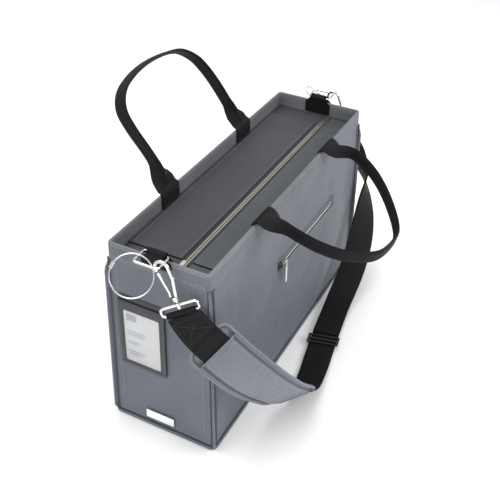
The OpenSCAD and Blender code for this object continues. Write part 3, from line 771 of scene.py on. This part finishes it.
def make_tails():
    """End gussets with the zip's tails on them."""
    low, high = cad("zip_tail_tapes")
    z = low.z + 0.45
    reach = {-1: ZIP_Y - low.y, 1: high.y - ZIP_Y}
    cloths = {-1: ("front", FLAP_CLOTH), 1: ("back", DARK_CLOTH)}
    paths = []
    for end_label, end in (("left", -1), ("right", 1)):
        x0, x1 = sorted((end * (teeth_high.x + 0.4), end * high.x))
        for side in (-1, 1):
            side_label, gusset_cloth = cloths[side]
            for kind, finish, slot, inner, outer, drop, wavy in (
                    ("gusset", gusset_cloth, "lining fabric", 7.4, reach[side], 0, 0.35),
                    ("tail", ZIP_TAPE, "zip tape", 3.3, FLAP_EDGE, -0.25, 0)):
                rows = []
                for k in range(13):
                    x = x0 + (x1 - x0) * k / 12
                    wave = wavy * noise.noise(Vector((x / 14, side * 4.0, 2)))
                    rows.append([Vector((x, ZIP_Y + side * (inner + (outer - inner) * a),
                                         z + drop + b + wave)) for a, b in FLAT_HEM])
                first = (kind, end, side) == ("gusset", -1, -1)
                publish(loft_mesh(f"{kind}_{end_label}_{side_label}", rows, sharp=60), finish,
                        "bag", slot, *(("zip_tail_tapes",) if first else ()))
            y = ZIP_Y + side * TOOTH_Y
            paths.append([Vector((x0 + 1.5 + 0.65 * side, y, z)), Vector((x1 - 1.0, y, z))])
    made = repeat_rows("tail_teeth", TOOTH, paths, "bag", "zip metal", ZIP_METAL, **TOOTH_SIZE)
    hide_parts("zip_tail_teeth")


# Section of a ledge's folded strip: (across, height).
FOLDED_STRIP = ((-1.6, -0.7), (0, -1.0), (1.6, -0.7), (1.8, 0), (1.6, 0.7), (0, 1.0), (-1.6, 0.7),
                (-1.8, 0))


def make_ledge(label):
    """The folded strip that a flap is sewn to."""
    low, high = cad(label + "_ledge")
    middle = (low.y + high.y) / 2
    rows = []
    for k in range(41):
        x = low.x + (high.x - low.x) * k / 40
        rows.append([Vector((x, middle + a, low.z + 1 + b)) for a, b in FOLDED_STRIP])
    publish(loft_mesh(label + "_ledge_strip", rows, sharp=60), DARK_CLOTH, "bag",
            "lining fabric", label + "_ledge")


make_flap("back", 1, DARK_CLOTH, "lining fabric")
make_flap("front", -1, FLAP_CLOTH, "shell fabric")
make_zip_half("front", -1)
make_zip_half("back", 1)
make_tails()
make_ledge("front")
make_ledge("back")


# ------------------------------------------------------------------ front pocket

def on_front(x, z, out):
    """Point standing out of the front wall."""
    t = x / half_x(z)
    return Vector((x, -half_y(z) - sink(FRONT, t, z) - out, z))


def pocket_strip(name, lower, upper, out, material, slot, *replaced):
    """Flat strip along the pocket's zip, from lower to upper about its middle."""
    low, high = cad("pocket_zip_teeth")
    section = ((-1, 0.0), (-0.96, out * 0.7), (-0.5, out), (0.5, out), (0.96, out * 0.7),
               (1, 0.0), (0.5, -0.3), (-0.5, -0.3))
    middle, half = (lower + upper) / 2, (upper - lower) / 2
    rows = []
    for k in range(81):
        x = low.x - 3 + (high.x - low.x + 6) * k / 80
        rows.append([on_front(x, POCKET_Z + middle + half * a, b) for a, b in section])
    publish(loft_mesh(name, rows, sharp=60), material, "bag", slot, *replaced)


def make_pocket():
    """Welts, zip and pouch of the front pocket."""
    pocket_strip("pocket_upper_welt", 4.6, 10.0, 1.3, SHELL_CLOTH, "shell fabric")
    pocket_strip("pocket_lower_welt", -10.0, -4.6, 0.9, SHELL_CLOTH, "shell fabric")
    pocket_strip("pocket_zip_tape_cloth", -5.8, 5.8, 1.0, ZIP_TAPE, "zip tape",
                 "pocket_zip_tape")
    low, high = cad("pocket_zip_teeth")
    x0, x1 = low.x, high.x
    path = [on_front(x0 + 1 + (x1 - x0 - 2) * k / 60, POCKET_Z, 1.2) for k in range(61)]
    made = repeat_rows("pocket_teeth", TOOTH, [path], "bag", "zip metal", CHROME,
                       Spacing=2.0, Length=1.6, Width=2.6, Height=1.1)
    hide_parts("pocket_zip_teeth")
    lines = [[on_front(x0 - 2 + (x1 - x0 + 4) * k / 60, POCKET_Z + dz, 1.6) for k in range(61)]
             for dz in (-7.6, 7.6)]
    repeat_rows("pocket_stitches", STITCH, lines, "bag", "shell fabric", THREAD,
                Spacing=3.2, Length=2.4, Width=0.7, Height=0.5)
    low, high = cad("pocket_pouch")
    middle = (high.x + low.x) / 2
    rows = []
    for k in range(31):
        t = k / 30
        z = low.z + (high.z - low.z) * t
        y = -half_y(z) + 6.6
        belly = 2.0 * math.sin(math.pi * t)
        reach = (high.x - low.x) / 2 - 3 * (1 - min(1, 6 * t, 6 * (1 - t)))
        rows.append([Vector((middle + reach * a, y + b * (1 + belly * (1 - a * a)) - 0.2, z))
                     for a, b in ((-1, 0), (-0.9, -0.6), (-0.4, -0.8), (0.4, -0.8), (0.9, -0.6),
                                  (1, 0), (0.9, 0.6), (0.4, 0.8), (-0.4, 0.8), (-0.9, 0.6))])
    publish(loft_mesh("pocket_bag", rows, sharp=60), LINING_AND_SHADE_CLOTH, "bag", "lining fabric",
            "pocket_pouch")


make_pocket()


# ------------------------------------------------------------------ handles

HINGE_Y, HINGE_Z = 68.5, 284.0
FOOT = 38.0
BAND_HALF, BAND_THICK = 20.0, 1.9
BACK_GRIP = ((-96, 0), (-105, 50), (-113, 85), (-114, 110), (-100, 128), (-72, 138), (-38, 142),
             (0, 140), (34, 133), (56, 118), (70, 98), (83, 62), (96, 0))
FRONT_GRIP = ((-98, 0), (-103, 51), (-101, 84), (-90, 113), (-66, 138), (-34, 147), (0, 144),
              (45, 117), (83, 84), (106, 50), (110, 24), (100, 0))


def fold_profile(fold):
    """Webbing folded lengthwise; fold runs from 0, flat, to 1, closed."""
    angle = fold * math.pi / 2
    half = BAND_HALF * (1 - 0.17 * fold)
    outer, inner = [], []
    for k in range(-6, 7):
        s = half * k / 6
        sign = (k > 0) - (k < 0)
        across = sign * (1.15 * math.sin(angle)) + s * math.cos(angle)
        rise = abs(s) * math.sin(angle) - half / 2 * math.sin(angle)
        p, q = (sign * math.sin(angle), -math.cos(angle)) if sign else (0, -1)
        t = BAND_THICK / 2 * (0.6 if abs(k) == 6 else 1)
        outer.append((across + p * t, rise + q * t))
        inner.append((across - p * t, rise - q * t))
    return outer + inner[::-1]


def make_handle(name, body, y_sign, lean, grip):
    """Grip about its hinge line, leaning outwards from upright by lean degrees."""
    turn = Matrix.Rotation(math.radians(-lean * y_sign), 3, "X")
    origin = Vector((0, y_sign * HINGE_Y, HINGE_Z))
    steps = 96
    last = len(grip) - 1
    flat = [Vector((x, 0, z)) for x, z in grip]
    rows, edge_lines = [], ([], [])
    for k in range(steps + 1):
        u = last * k / steps
        here = spline(flat, u)
        ahead = spline(flat, min(u + 0.05, last)) - spline(flat, max(u - 0.05, 0))
        ahead.normalize()
        n = Vector((-ahead.z, 0, ahead.x))
        share = min(1, max(here.z, 0) / FOOT)
        if here.z < FOOT:
            foot_x = math.copysign(HANDLE_FEET[1], here.x)
            here = Vector((foot_x + (here.x - foot_x) * share, 0, here.z))
            n = Vector((math.copysign(1, n.x), 0, 0)).lerp(n, share).normalized()
        rows.append([origin + turn @ (here + n * a + Vector((0, y_sign * b, 0)))
                     for a, b in fold_profile(share * share * (3 - 2 * share))])
        if share >= 1:
            for line, s in zip(edge_lines, (-1, 1)):
                line.append(origin + turn @ (here + n * (s * 2.2) + Vector((0, y_sign * 5.6, 0))))
    publish(loft_mesh(name, rows, sharp=50), WEBBING, body, "webbing", body)
    repeat_rows(name + "_stitches", STITCH, edge_lines, body, "webbing", DARK_THREAD,
                Spacing=3.4, Length=2.6, Width=0.7, Height=0.5)


def band_rows(path, axis, halves, thick):
    """Rows of a band along the path; axis lies across it, and halves are its half widths."""
    rows = []
    for k, (p, half) in enumerate(zip(path, halves)):
        before, after = path[max(k - 1, 0)], path[min(k + 1, len(path) - 1)]
        out = axis.cross((after - before).normalized()).normalized()
        rows.append([p + axis * a + out * b for a, b in flat_strip(half, thick)])
    return rows


def box_cross(centre, half, height, out_at):
    """Four lines of a sewn box and two of its cross; out_at(x, z) gives a point on the face."""
    low, high = height
    lines = [[out_at(centre - half + 2 * half * k / 12, z) for k in range(13)]
             for z in (low, high)]
    lines += [[out_at(centre + x, low + (high - low) * k / 6) for k in range(7)]
              for x in (-half, half)]
    lines += [[out_at(centre + s * (-half + 2 * half * k / 12), low + (high - low) * k / 12)
               for k in range(13)] for s in (-1, 1)]
    return lines


def make_anchors(name, node, y_sign):
    """The sewn ends of a handle, inside the rim."""
    face = half_y(HIGH) - 4.0 - 1.4
    side = [(face, 258.8), (face, 262), (face, 270), (face, 277), (face + 0.4, 280.2),
            (face + 1.8, 282.2), (face + 4, 283.2), (HINGE_Y - 0.3, HINGE_Z)]
    lines = []
    for index, foot in enumerate(HANDLE_FEET):
        path = [Vector((foot, y_sign * y, z)) for y, z in side]
        rows = band_rows(path, Vector((1, 0, 0)), [BAND_HALF] * len(path), BAND_THICK)
        publish(loft_mesh(f"{name}_{index}", rows, sharp=50), WEBBING, "bag", "webbing",
                *((node,) if index == 0 else ()))
        lines += box_cross(foot, 17.5, (261.5, 277.5),
                           lambda x, z: Vector((x, y_sign * (face - 1.1), z)))
    repeat_rows(name + "_stitches", STITCH, lines, "bag", "webbing", DARK_THREAD,
                Spacing=3.0, Length=2.3, Width=0.8, Height=0.6)


make_handle("back_grip", "back_handle", 1, 27, BACK_GRIP)
make_handle("front_grip", "front_handle", -1, 105, FRONT_GRIP)
make_anchors("back_anchor", "back_handle_anchors", 1)
make_anchors("front_anchor", "front_handle_anchors", -1)


# ------------------------------------------------------------------ ring tabs

TAB_INNER, TAB_MIDDLE, TAB_OUTER = 226.2, 229.5, 233.0
TAB_ARCH, TAB_TOP = 4.1, 285.5


def make_ring_tab(name, node, sign):
    """Webbing over the end's rim, folded narrow round the D ring."""
    stations = [(TAB_INNER, 261.5, 20), (TAB_INNER, 266, 20), (TAB_INNER, 272, 20),
                (TAB_INNER, 277.5, 20), (TAB_INNER - 0.4, 280.5, 17),
                (TAB_INNER - 0.7, 283, 12.8)]
    for k in range(11):
        a = math.pi * (1 - k / 10)
        stations.append((TAB_MIDDLE + TAB_ARCH * math.cos(a),
                         TAB_TOP + TAB_ARCH * math.sin(a), 12))
    stations += [(TAB_OUTER + 0.7, 283, 12.8), (TAB_OUTER + 0.5, 280.5, 17),
                 (TAB_OUTER, 277.5, 20), (TAB_OUTER, 273, 20), (TAB_OUTER, 268.5, 20)]
    path = [Vector((sign * x, 0, z)) for x, z, _ in stations]
    rows = band_rows(path, Vector((0, 1, 0)), [half for _, _, half in stations], 1.8)
    publish(loft_mesh(name, rows, sharp=50), WEBBING, "bag", "webbing", node)
    x = sign * (TAB_OUTER + 1.1)
    lines = [[Vector((x, -17 + 34 * k / 12, z)) for k in range(13)] for z in (270.5, 278)]
    lines += [[Vector((x, y, 270.5 + 7.5 * k / 3)) for k in range(4)] for y in (-17, 17)]
    repeat_rows(name + "_stitches", STITCH, lines, "bag", "webbing", DARK_THREAD,
                Spacing=3.0, Length=2.3, Width=0.8, Height=0.6)


make_ring_tab("left_tab_webbing", "left_ring_tab", -1)
make_ring_tab("right_tab_webbing", "right_ring_tab", 1)


# ------------------------------------------------------------------ shoulder strap

# Points of the webbing's middle, and the directions across it at each.
ROUTE = ((-246, -41, 229), (-253, -66, 215), (-252, -91, 197), (-240, -109, 170),
         (-219, -124, 136), (-190, -133, 98), (-152, -138, 55), (-105, -141, 20),
         (-56, -134, 8), (-18, -127, 6), (16, -121, 6), (58, -115, 8), (104, -110, 15),
         (150, -110, 44), (184, -107, 78), (218, -98, 113), (247, -84, 148),
         (254, -64, 190), (246, -41, 229))
FACING = ((0.41, -0.83, 0.37), (0.58, -0.68, 0.45), (0.66, -0.57, 0.49), (0.69, -0.52, 0.50),
          (0.66, -0.58, 0.48), (0.60, -0.67, 0.44), (0.52, -0.73, 0.44), (0.42, -0.84, 0.33),
          (0.34, -0.92, 0.20), (0.30, -0.94, 0.12), (0.26, -0.96, 0.08), (0.30, -0.94, 0.12),
          (0.36, -0.91, 0.16), (0.39, -0.92, 0.05), (0.46, -0.84, -0.28),
          (0.50, -0.55, -0.67), (0.42, -0.04, -0.91), (0.41, 0.48, -0.78), (0.41, 0.83, -0.37))
ROUTE = tuple((x * 247 / 246, y, z) for x, y, z in ROUTE)
LAST = len(ROUTE) - 1


def station(u):
    """Centre, across and outward directions of the strap at u."""
    centre = spline(ROUTE, u)
    along = (spline(ROUTE, min(u + 0.05, LAST)) - spline(ROUTE, max(u - 0.05, 0))).normalized()
    across = spline(FACING, u)
    share = min(1, u / 1.5, (LAST - u) / 1.5)
    across = (across - along * (share * across.dot(along))).normalized()
    return centre, across, across.cross(along).normalized()


def between(u0, u1, steps, height=0.0):
    """Stations from u0 to u1, moved outwards by height."""
    stations = [station(u0 + (u1 - u0) * k / steps) for k in range(steps + 1)]
    return [(centre + out * height, across, out) for centre, across, out in stations]


def strap_band(name, half, thick, stations, *replaced):
    """One layer of webbing through the stations."""
    publish(loft_mesh(name, carry(flat_strip(half, thick), stations), sharp=50), WEBBING,
            "strap", "webbing", *replaced)


def strap_box_cross(patch, height):
    """Stitch lines of a box with a cross in it, over the stations of a patch."""
    last = len(patch) - 1
    lines = []
    for s in (-1, 1):
        lines.append([c + w * (17 * s) + o * height for c, w, o in patch])
        lines.append([c + w * (s * (17 - 34 * k / last)) + o * height
                      for k, (c, w, o) in enumerate(patch)])
    for c, w, o in (patch[0], patch[-1]):
        lines.append([c + w * (17 - 34 * k / 12) + o * height for k in range(13)])
    return lines


def bar_wrap(label, u):
    """Webbing folded round a strap loop's bar."""
    centre, axis, _ = station(u)
    side = axis.cross(UP).normalized()
    rise = side.cross(axis)
    rows = []
    for k in range(25):
        a = 2 * math.pi * k / 24
        p = centre + side * (3.2 * math.cos(a)) + rise * (3.2 * math.sin(a))
        radial = (p - centre).normalized()
        rows.append([p + axis * b + radial * c for b, c in flat_strip(18, 1.7)])
    publish(loft_mesh("bar_wrap_" + label, rows, cap=False, sharp=50), WEBBING, "strap",
            "webbing")


def make_strap():
    """The webbing, its doubled part and its two sewn ends."""
    strap_band("strap_band", BAND_HALF, BAND_THICK, between(0.13, LAST - 0.08, 260),
               "strap_webbing")
    strap_band("strap_return_band", BAND_HALF, 1.8, between(10.35, LAST - 0.1, 120, 2.1),
               "strap_return")
    strap_band("strap_tongue", 19.6, 1.8, between(0.16, 1.3, 16, -2.1))
    bar_wrap("left", 0)
    bar_wrap("right", LAST)
    lines = strap_box_cross(between(0.35, 1.15, 14), -3.2)
    lines += strap_box_cross(between(LAST - 0.6, LAST - 0.25, 14), 3.2)
    repeat_rows("strap_stitches", STITCH, lines, "strap", "webbing", DARK_THREAD,
                Spacing=3.2, Length=2.5, Width=0.8, Height=0.6)


PAD_START, PAD_END, COVER_START, COVER_END = 1.3333, 6.6667, 1.95, 6.3333
PAD_HALF = 29.2
PAD_LOW, PAD_HIGH = -8.0, -1.25
PAD_STEPS, COVER_STEPS = 110, 140
COVER_RISE = 2.9


def pad_station(u):
    """Like station, but its third direction is the pad's top."""
    centre, across, out = station(u)
    return centre, across, -out


def pad_profile(half, crown):
    """Crowned section of the pad, its height measured off the strap's route."""
    thick = PAD_HIGH - PAD_LOW
    points = []
    for k in range(15):
        t = -1 + 2 * k / 14
        full = 1 - abs(t) ** 4
        points.append((t * half, PAD_LOW + thick * 0.42 - (0.42 * thick + crown) * full))
    for k in range(13, 0, -1):
        t = -1 + 2 * k / 14
        full = 1 - abs(t) ** 5
        points.append((t * half, PAD_LOW + thick * 0.5 + (0.5 * thick + crown * 0.3) * full))
    return points


def cover_height(across):
    """Height of the centre cover, raised over the webbing and down at the pad's rim."""
    return COVER_RISE / (1 + math.exp((abs(across) - 22.6) / 0.6))


def rim_width(run, corner=15):
    """Half width of the pad's rounded plan, run millimetres in from its end."""
    inset = 1 - min(max(run, 0) / corner, 1)
    return PAD_HALF - corner * (1 - math.sqrt(1 - inset * inset))


def pad_rim():
    """(share, station, half width, run in from the nearer end) along the pad."""
    points = [station(PAD_START + (PAD_END - PAD_START) * k / 60)[0] for k in range(61)]
    length = sum((b - a).length for a, b in zip(points, points[1:]))
    rim = []
    for k in range(PAD_STEPS + 1):
        t = k / PAD_STEPS
        run = min(t, 1 - t) * length
        rim.append((t, pad_station(PAD_START + (PAD_END - PAD_START) * t), rim_width(run), run))
    return rim


def make_pad_body(rim):
    """The padded core, thinner at its two ends."""
    middle = (PAD_LOW + PAD_HIGH) / 2
    rows = []
    for t, (c, w, o), half, run in rim:
        soft = 0.35 + 0.65 * min(1, run / 7)
        puff = 0.4 * noise.noise(Vector((t * 9, 0, 2)))
        rows.append([c + w * a + o * (middle + (b - middle) * soft)
                     for a, b in pad_profile(half, 0.3 + puff)])
    made = publish(loft_mesh("pad_body", rows, sharp=70), PAD_CLOTH, "strap", "pad fabric",
                   "shoulder_pad")


def make_pad_cover(stations):
    """The sleeve that the webbing runs under, wrinkled most near its mouths."""
    rows = []
    for k, (c, w, o) in enumerate(stations):
        t = k / COVER_STEPS
        near_end = math.exp(-min(t, 1 - t) * 9)
        row = []
        for q in range(33):
            a = -1 + 2 * q / 32
            wrinkle = 0.7 * noise.noise(Vector((t * 34, a * 1.6, 5))) \
                + 0.45 * math.sin(t * 120 + 3 * a) * (1 - a * a) * (0.3 + near_end)
            height = cover_height(a * PAD_HALF)
            lift = -0.6 + height + wrinkle * (0.2 + 0.8 * height / COVER_RISE)
            row.append(c + w * (a * (PAD_HALF - 1.2)) + o * lift)
        rows.append(row)
    made = publish(loft_mesh("pad_top_cover", rows, ring=False, cap=False, sharp=70), PAD_CLOTH,
                   "strap", "pad fabric", "pad_cover")
    live(made, ("SOLIDIFY", {"thickness": 0.8 * MM, "offset": 0.0}))
    for index, u in enumerate((COVER_START + 0.02, COVER_END)):
        c, w, o = pad_station(u)
        reach = [-24.5 + 49 * k / 24 for k in range(25)]
        line = [c + w * a + o * (-0.3 + cover_height(a)) for a in reach]
        sewn_tube(f"pad_mouth_hem_{index}", line, 1.25, 8, PAD_CLOTH, "strap", "pad fabric",
                  up=o)


def make_pad_edges(rim):
    """Piping round the pad, and dark tubes of painted shade in the sunk seams beside it and beside
    the webbing.
    """
    loop = []
    painted_shade = {}
    for s, side_label, order in ((-1, "a", rim[::-1]), (1, "b", rim)):
        groove, inner = [], []
        for t, (c, w, o), half, _ in order:
            loop.append(c + w * (s * (half + 0.4)) + o * -1.7)
            if COVER_START - 0.2 < PAD_START + (PAD_END - PAD_START) * t < COVER_END + 0.1:
                groove.append(c + w * (s * (PAD_HALF - 3.6)) + o * -0.15)
                inner.append(c + w * (s * 23.6) + o * 0.5)
        painted_shade["outer", side_label] = groove
        painted_shade["inner", side_label] = inner
    loop.append(loop[0].copy())
    sewn_tube("pad_piping", loop, 1.9, 8, PAD_CLOTH, "strap", "pad fabric", cap=False)
    # Thin tubes of the dark lining cloth: painted shade along the sunk seams.
    for label in ("outer", "inner"):
        for side_label in ("a", "b"):
            sewn_tube(f"pad_seam_{label}_{side_label}", painted_shade[label, side_label], 0.45, 6,
                      LINING_AND_SHADE_CLOTH, "strap", "pad fabric")


def make_pad():
    """Core, cover and piping of the pad, the painted shade of its sunk seams, and its stitches."""
    rim = pad_rim()
    make_pad_body(rim)
    first = COVER_START + 0.02
    stations = [pad_station(first + (COVER_END - first) * k / COVER_STEPS)
                for k in range(COVER_STEPS + 1)]
    make_pad_cover(stations)
    make_pad_edges(rim)
    seams = []
    for s in (-1, 1):
        seams.append([c + w * (s * 19.5) + o * (COVER_RISE - 0.1) for c, w, o in stations[3:-3]])
        seams.append([c + w * (s * (PAD_HALF - 2.3)) for c, w, o in stations[2:-2]])
    for u in (COVER_START + 0.2, COVER_END - 0.1):
        c, w, o = pad_station(u)
        seams.append([c + w * (-20 + 40 * k / 20) + o * (COVER_RISE - 0.1) for k in range(21)])
    repeat_rows("pad_stitches", STITCH, seams, "strap", "pad fabric", THREAD,
                Spacing=3.6, Length=2.7, Width=0.8, Height=0.6)


make_strap()
make_pad()


# ------------------------------------------------------------------ ID pocket and label

def wall_x(off):
    """x of the left wall's flat plane at a height, moved out by off."""
    return lambda z: -(half_x(z) + off)


def round_rect(low, high, inset, radius, off):
    """Outline on the left wall between two corners, inset from them; off is out of the wall."""
    y0, y1, z0, z1 = low.y + inset[0], high.y - inset[0], low.z + inset[1], high.z - inset[1]
    points = []
    for cy, cz, start in ((y1 - radius, z0 + radius, -90), (y1 - radius, z1 - radius, 0),
                          (y0 + radius, z1 - radius, 90), (y0 + radius, z0 + radius, 180)):
        for k in range(6):
            a = math.radians(start + 90 * k / 5)
            y, z = cy + radius * math.cos(a), cz + radius * math.sin(a)
            points.append(Vector((wall_x(off)(z), y, z)))
    return points


def plate_rows(points, thick, edge):
    """Closed flat plate with softened rims, standing out from an outline."""
    centre = sum(points, Vector()) / len(points)
    shrunk = [p + (centre - p).normalized() * edge for p in points]
    out = Vector((-1, 0, 0.0125))
    return [shrunk, [p + out * edge for p in points],
            [p + out * (thick - edge) for p in points], [p + out * thick for p in shrunk]]


def make_plate(name, points, thick, edge, material, body, slot, *replaced):
    """Flat plate on the left wall; edge is how far its rims are softened."""
    mesh = loft_mesh(name, plate_rows(points, thick, edge), sharp=50)
    publish(mesh, material, body, slot, *replaced)


def frame_mesh(name, outer, inner, thick):
    """Flat ring between two outlines with equal point counts, thickened outwards."""
    out = Vector((-thick, 0, thick * 0.0125))
    soft = 0.22
    rows = [[*outer], [p + out * (1 - soft) for p in outer],
            [p.lerp(q, 0.06) + out for p, q in zip(outer, inner)],
            [q.lerp(p, 0.06) + out for p, q in zip(outer, inner)],
            [q + out * (1 - soft) for q in inner], [*inner], [*outer]]
    return loft_mesh(name, rows, cap=False, sharp=50)


def make_holder():
    """Vinyl pocket, its clear window, the card in it, and its stitches."""
    low, high = cad("holder_back")
    card_low, card_high = cad("id_card")
    make_plate("holder_sheet", round_rect(low, high, (0, 0), 3, 0.1), 1.0, 0.25, VINYL, "bag",
               "pocket vinyl", "holder_back")
    mouth = Vector((0, 0, 7.8))
    front = frame_mesh("holder_front", round_rect(low, high - mouth, (0.2, 0.2), 3, 2.2),
                       round_rect(card_low, card_high, (1.5, 2), 2, 2.2), 1.0)
    publish(front, VINYL, "bag", "pocket vinyl", "holder_frame")
    make_plate("window_pane", round_rect(card_low, card_high, (1.6, 2.1), 2, 2.25), 0.5, 0.1,
               WINDOW, "bag", "clear window", "holder_window")
    make_plate("card_blank", round_rect(card_low, card_high, (0, 0), 3, 1.25), 0.8, 0.15, CARD,
               "id_card", "card", "id_card")
    print_card(card_low, card_high)
    x_at = wall_x(3.25)
    heights = [low.z + 3 + (high.z - low.z - 13) * k / 30 for k in range(31)]
    lines = [[Vector((x_at(z), y, z)) for z in heights] for y in (low.y + 2.2, high.y - 2.2)]
    foot = low.z + 2.2
    lines.append([Vector((x_at(foot), low.y + 3 + (high.y - low.y - 6) * k / 20, foot))
                  for k in range(21)])
    repeat_rows("holder_stitches", STITCH, lines, "bag", "pocket vinyl", THREAD,
                Spacing=3.4, Length=2.5, Width=0.7, Height=0.5)


# Generic print: one block, then lines as (height, length), all as shares of the card.
PRINT_BLOCK = (0.10, 0.36, 0.80, 0.92)
PRINT_LINES = ((0.60, 0.5), (0.565, 0.42), (0.53, 0.46), (0.40, 0.34), (0.365, 0.28), (0.22, 0.5),
               (0.185, 0.44), (0.15, 0.3))


def print_card(low, high):
    """Thin raised bars on the card's face."""
    margin, line_height, ink, x_at = PRINT_BLOCK[0], 0.014, 0.06, wall_x(2.09)
    spots = [PRINT_BLOCK]
    spots += [(margin, margin + wide, z, z + line_height) for z, wide in PRINT_LINES]
    bm = bmesh.new()
    for a0, a1, b0, b1 in spots:
        spread = [(high.y - a * (high.y - low.y), low.z + b * (high.z - low.z))
                  for a, b in ((a0, b0), (a1, b0), (a1, b1), (a0, b1))]
        under, top = ([bm.verts.new(Vector((x_at(z) - rise, y, z)) * MM) for y, z in spread]
                      for rise in (0, ink))
        bm.faces.new(under)
        bm.faces.new(top)
        for k in range(4):
            bm.faces.new((under[k - 1], under[k], top[k], top[k - 1]))
    bmesh.ops.recalc_face_normals(bm, faces=bm.faces)
    mesh = bpy.data.meshes.new("card_print")
    bm.to_mesh(mesh)
    bm.free()
    publish(mesh, INK, "id_card", "card")


make_holder()
label_low, label_high = cad("label_plate")
make_plate("label_blank", round_rect(label_low, label_high, (0, 0), 1.5, 0.15), 1.2, 0.3, LABEL,
           "bag", "label", "label_plate")


# ------------------------------------------------------------------ CAD pieces kept as they are

KEPT = {
    "zip_slider": ZIP_METAL, "zip_pull": ZIP_METAL, "pocket_slider": CHROME,
    "pocket_pull": CHROME, "tri_glide": BUCKLE,
}
for end_name in ("left", "right"):
    for part in ("d_ring", "hook", "gate", "strap_loop", "ring_barrel"):
        KEPT[f"{end_name}_{part}"] = CHROME
    KEPT[f"{end_name}_cable_ring"] = CABLE
for node_name, finish in KEPT.items():
    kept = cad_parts[node_name]
    if not kept.material_slots:
        kept.data.materials.append(finish)
    for material_slot in kept.material_slots:
        material_slot.material = finish


# ------------------------------------------------------------------ floor

FLOOR_REACH, FLOOR_DROP = 6, 0.0003
floor_mesh = bpy.data.meshes.new("floor")
floor_mesh.from_pydata([(x * FLOOR_REACH, y * FLOOR_REACH, -FLOOR_DROP) for x, y in CORNERS],
                       [], [(0, 1, 2, 3)])
floor_mesh.materials.append(FLOOR)
floor = bpy.data.objects.new("floor", floor_mesh)
scene.collection.objects.link(floor)
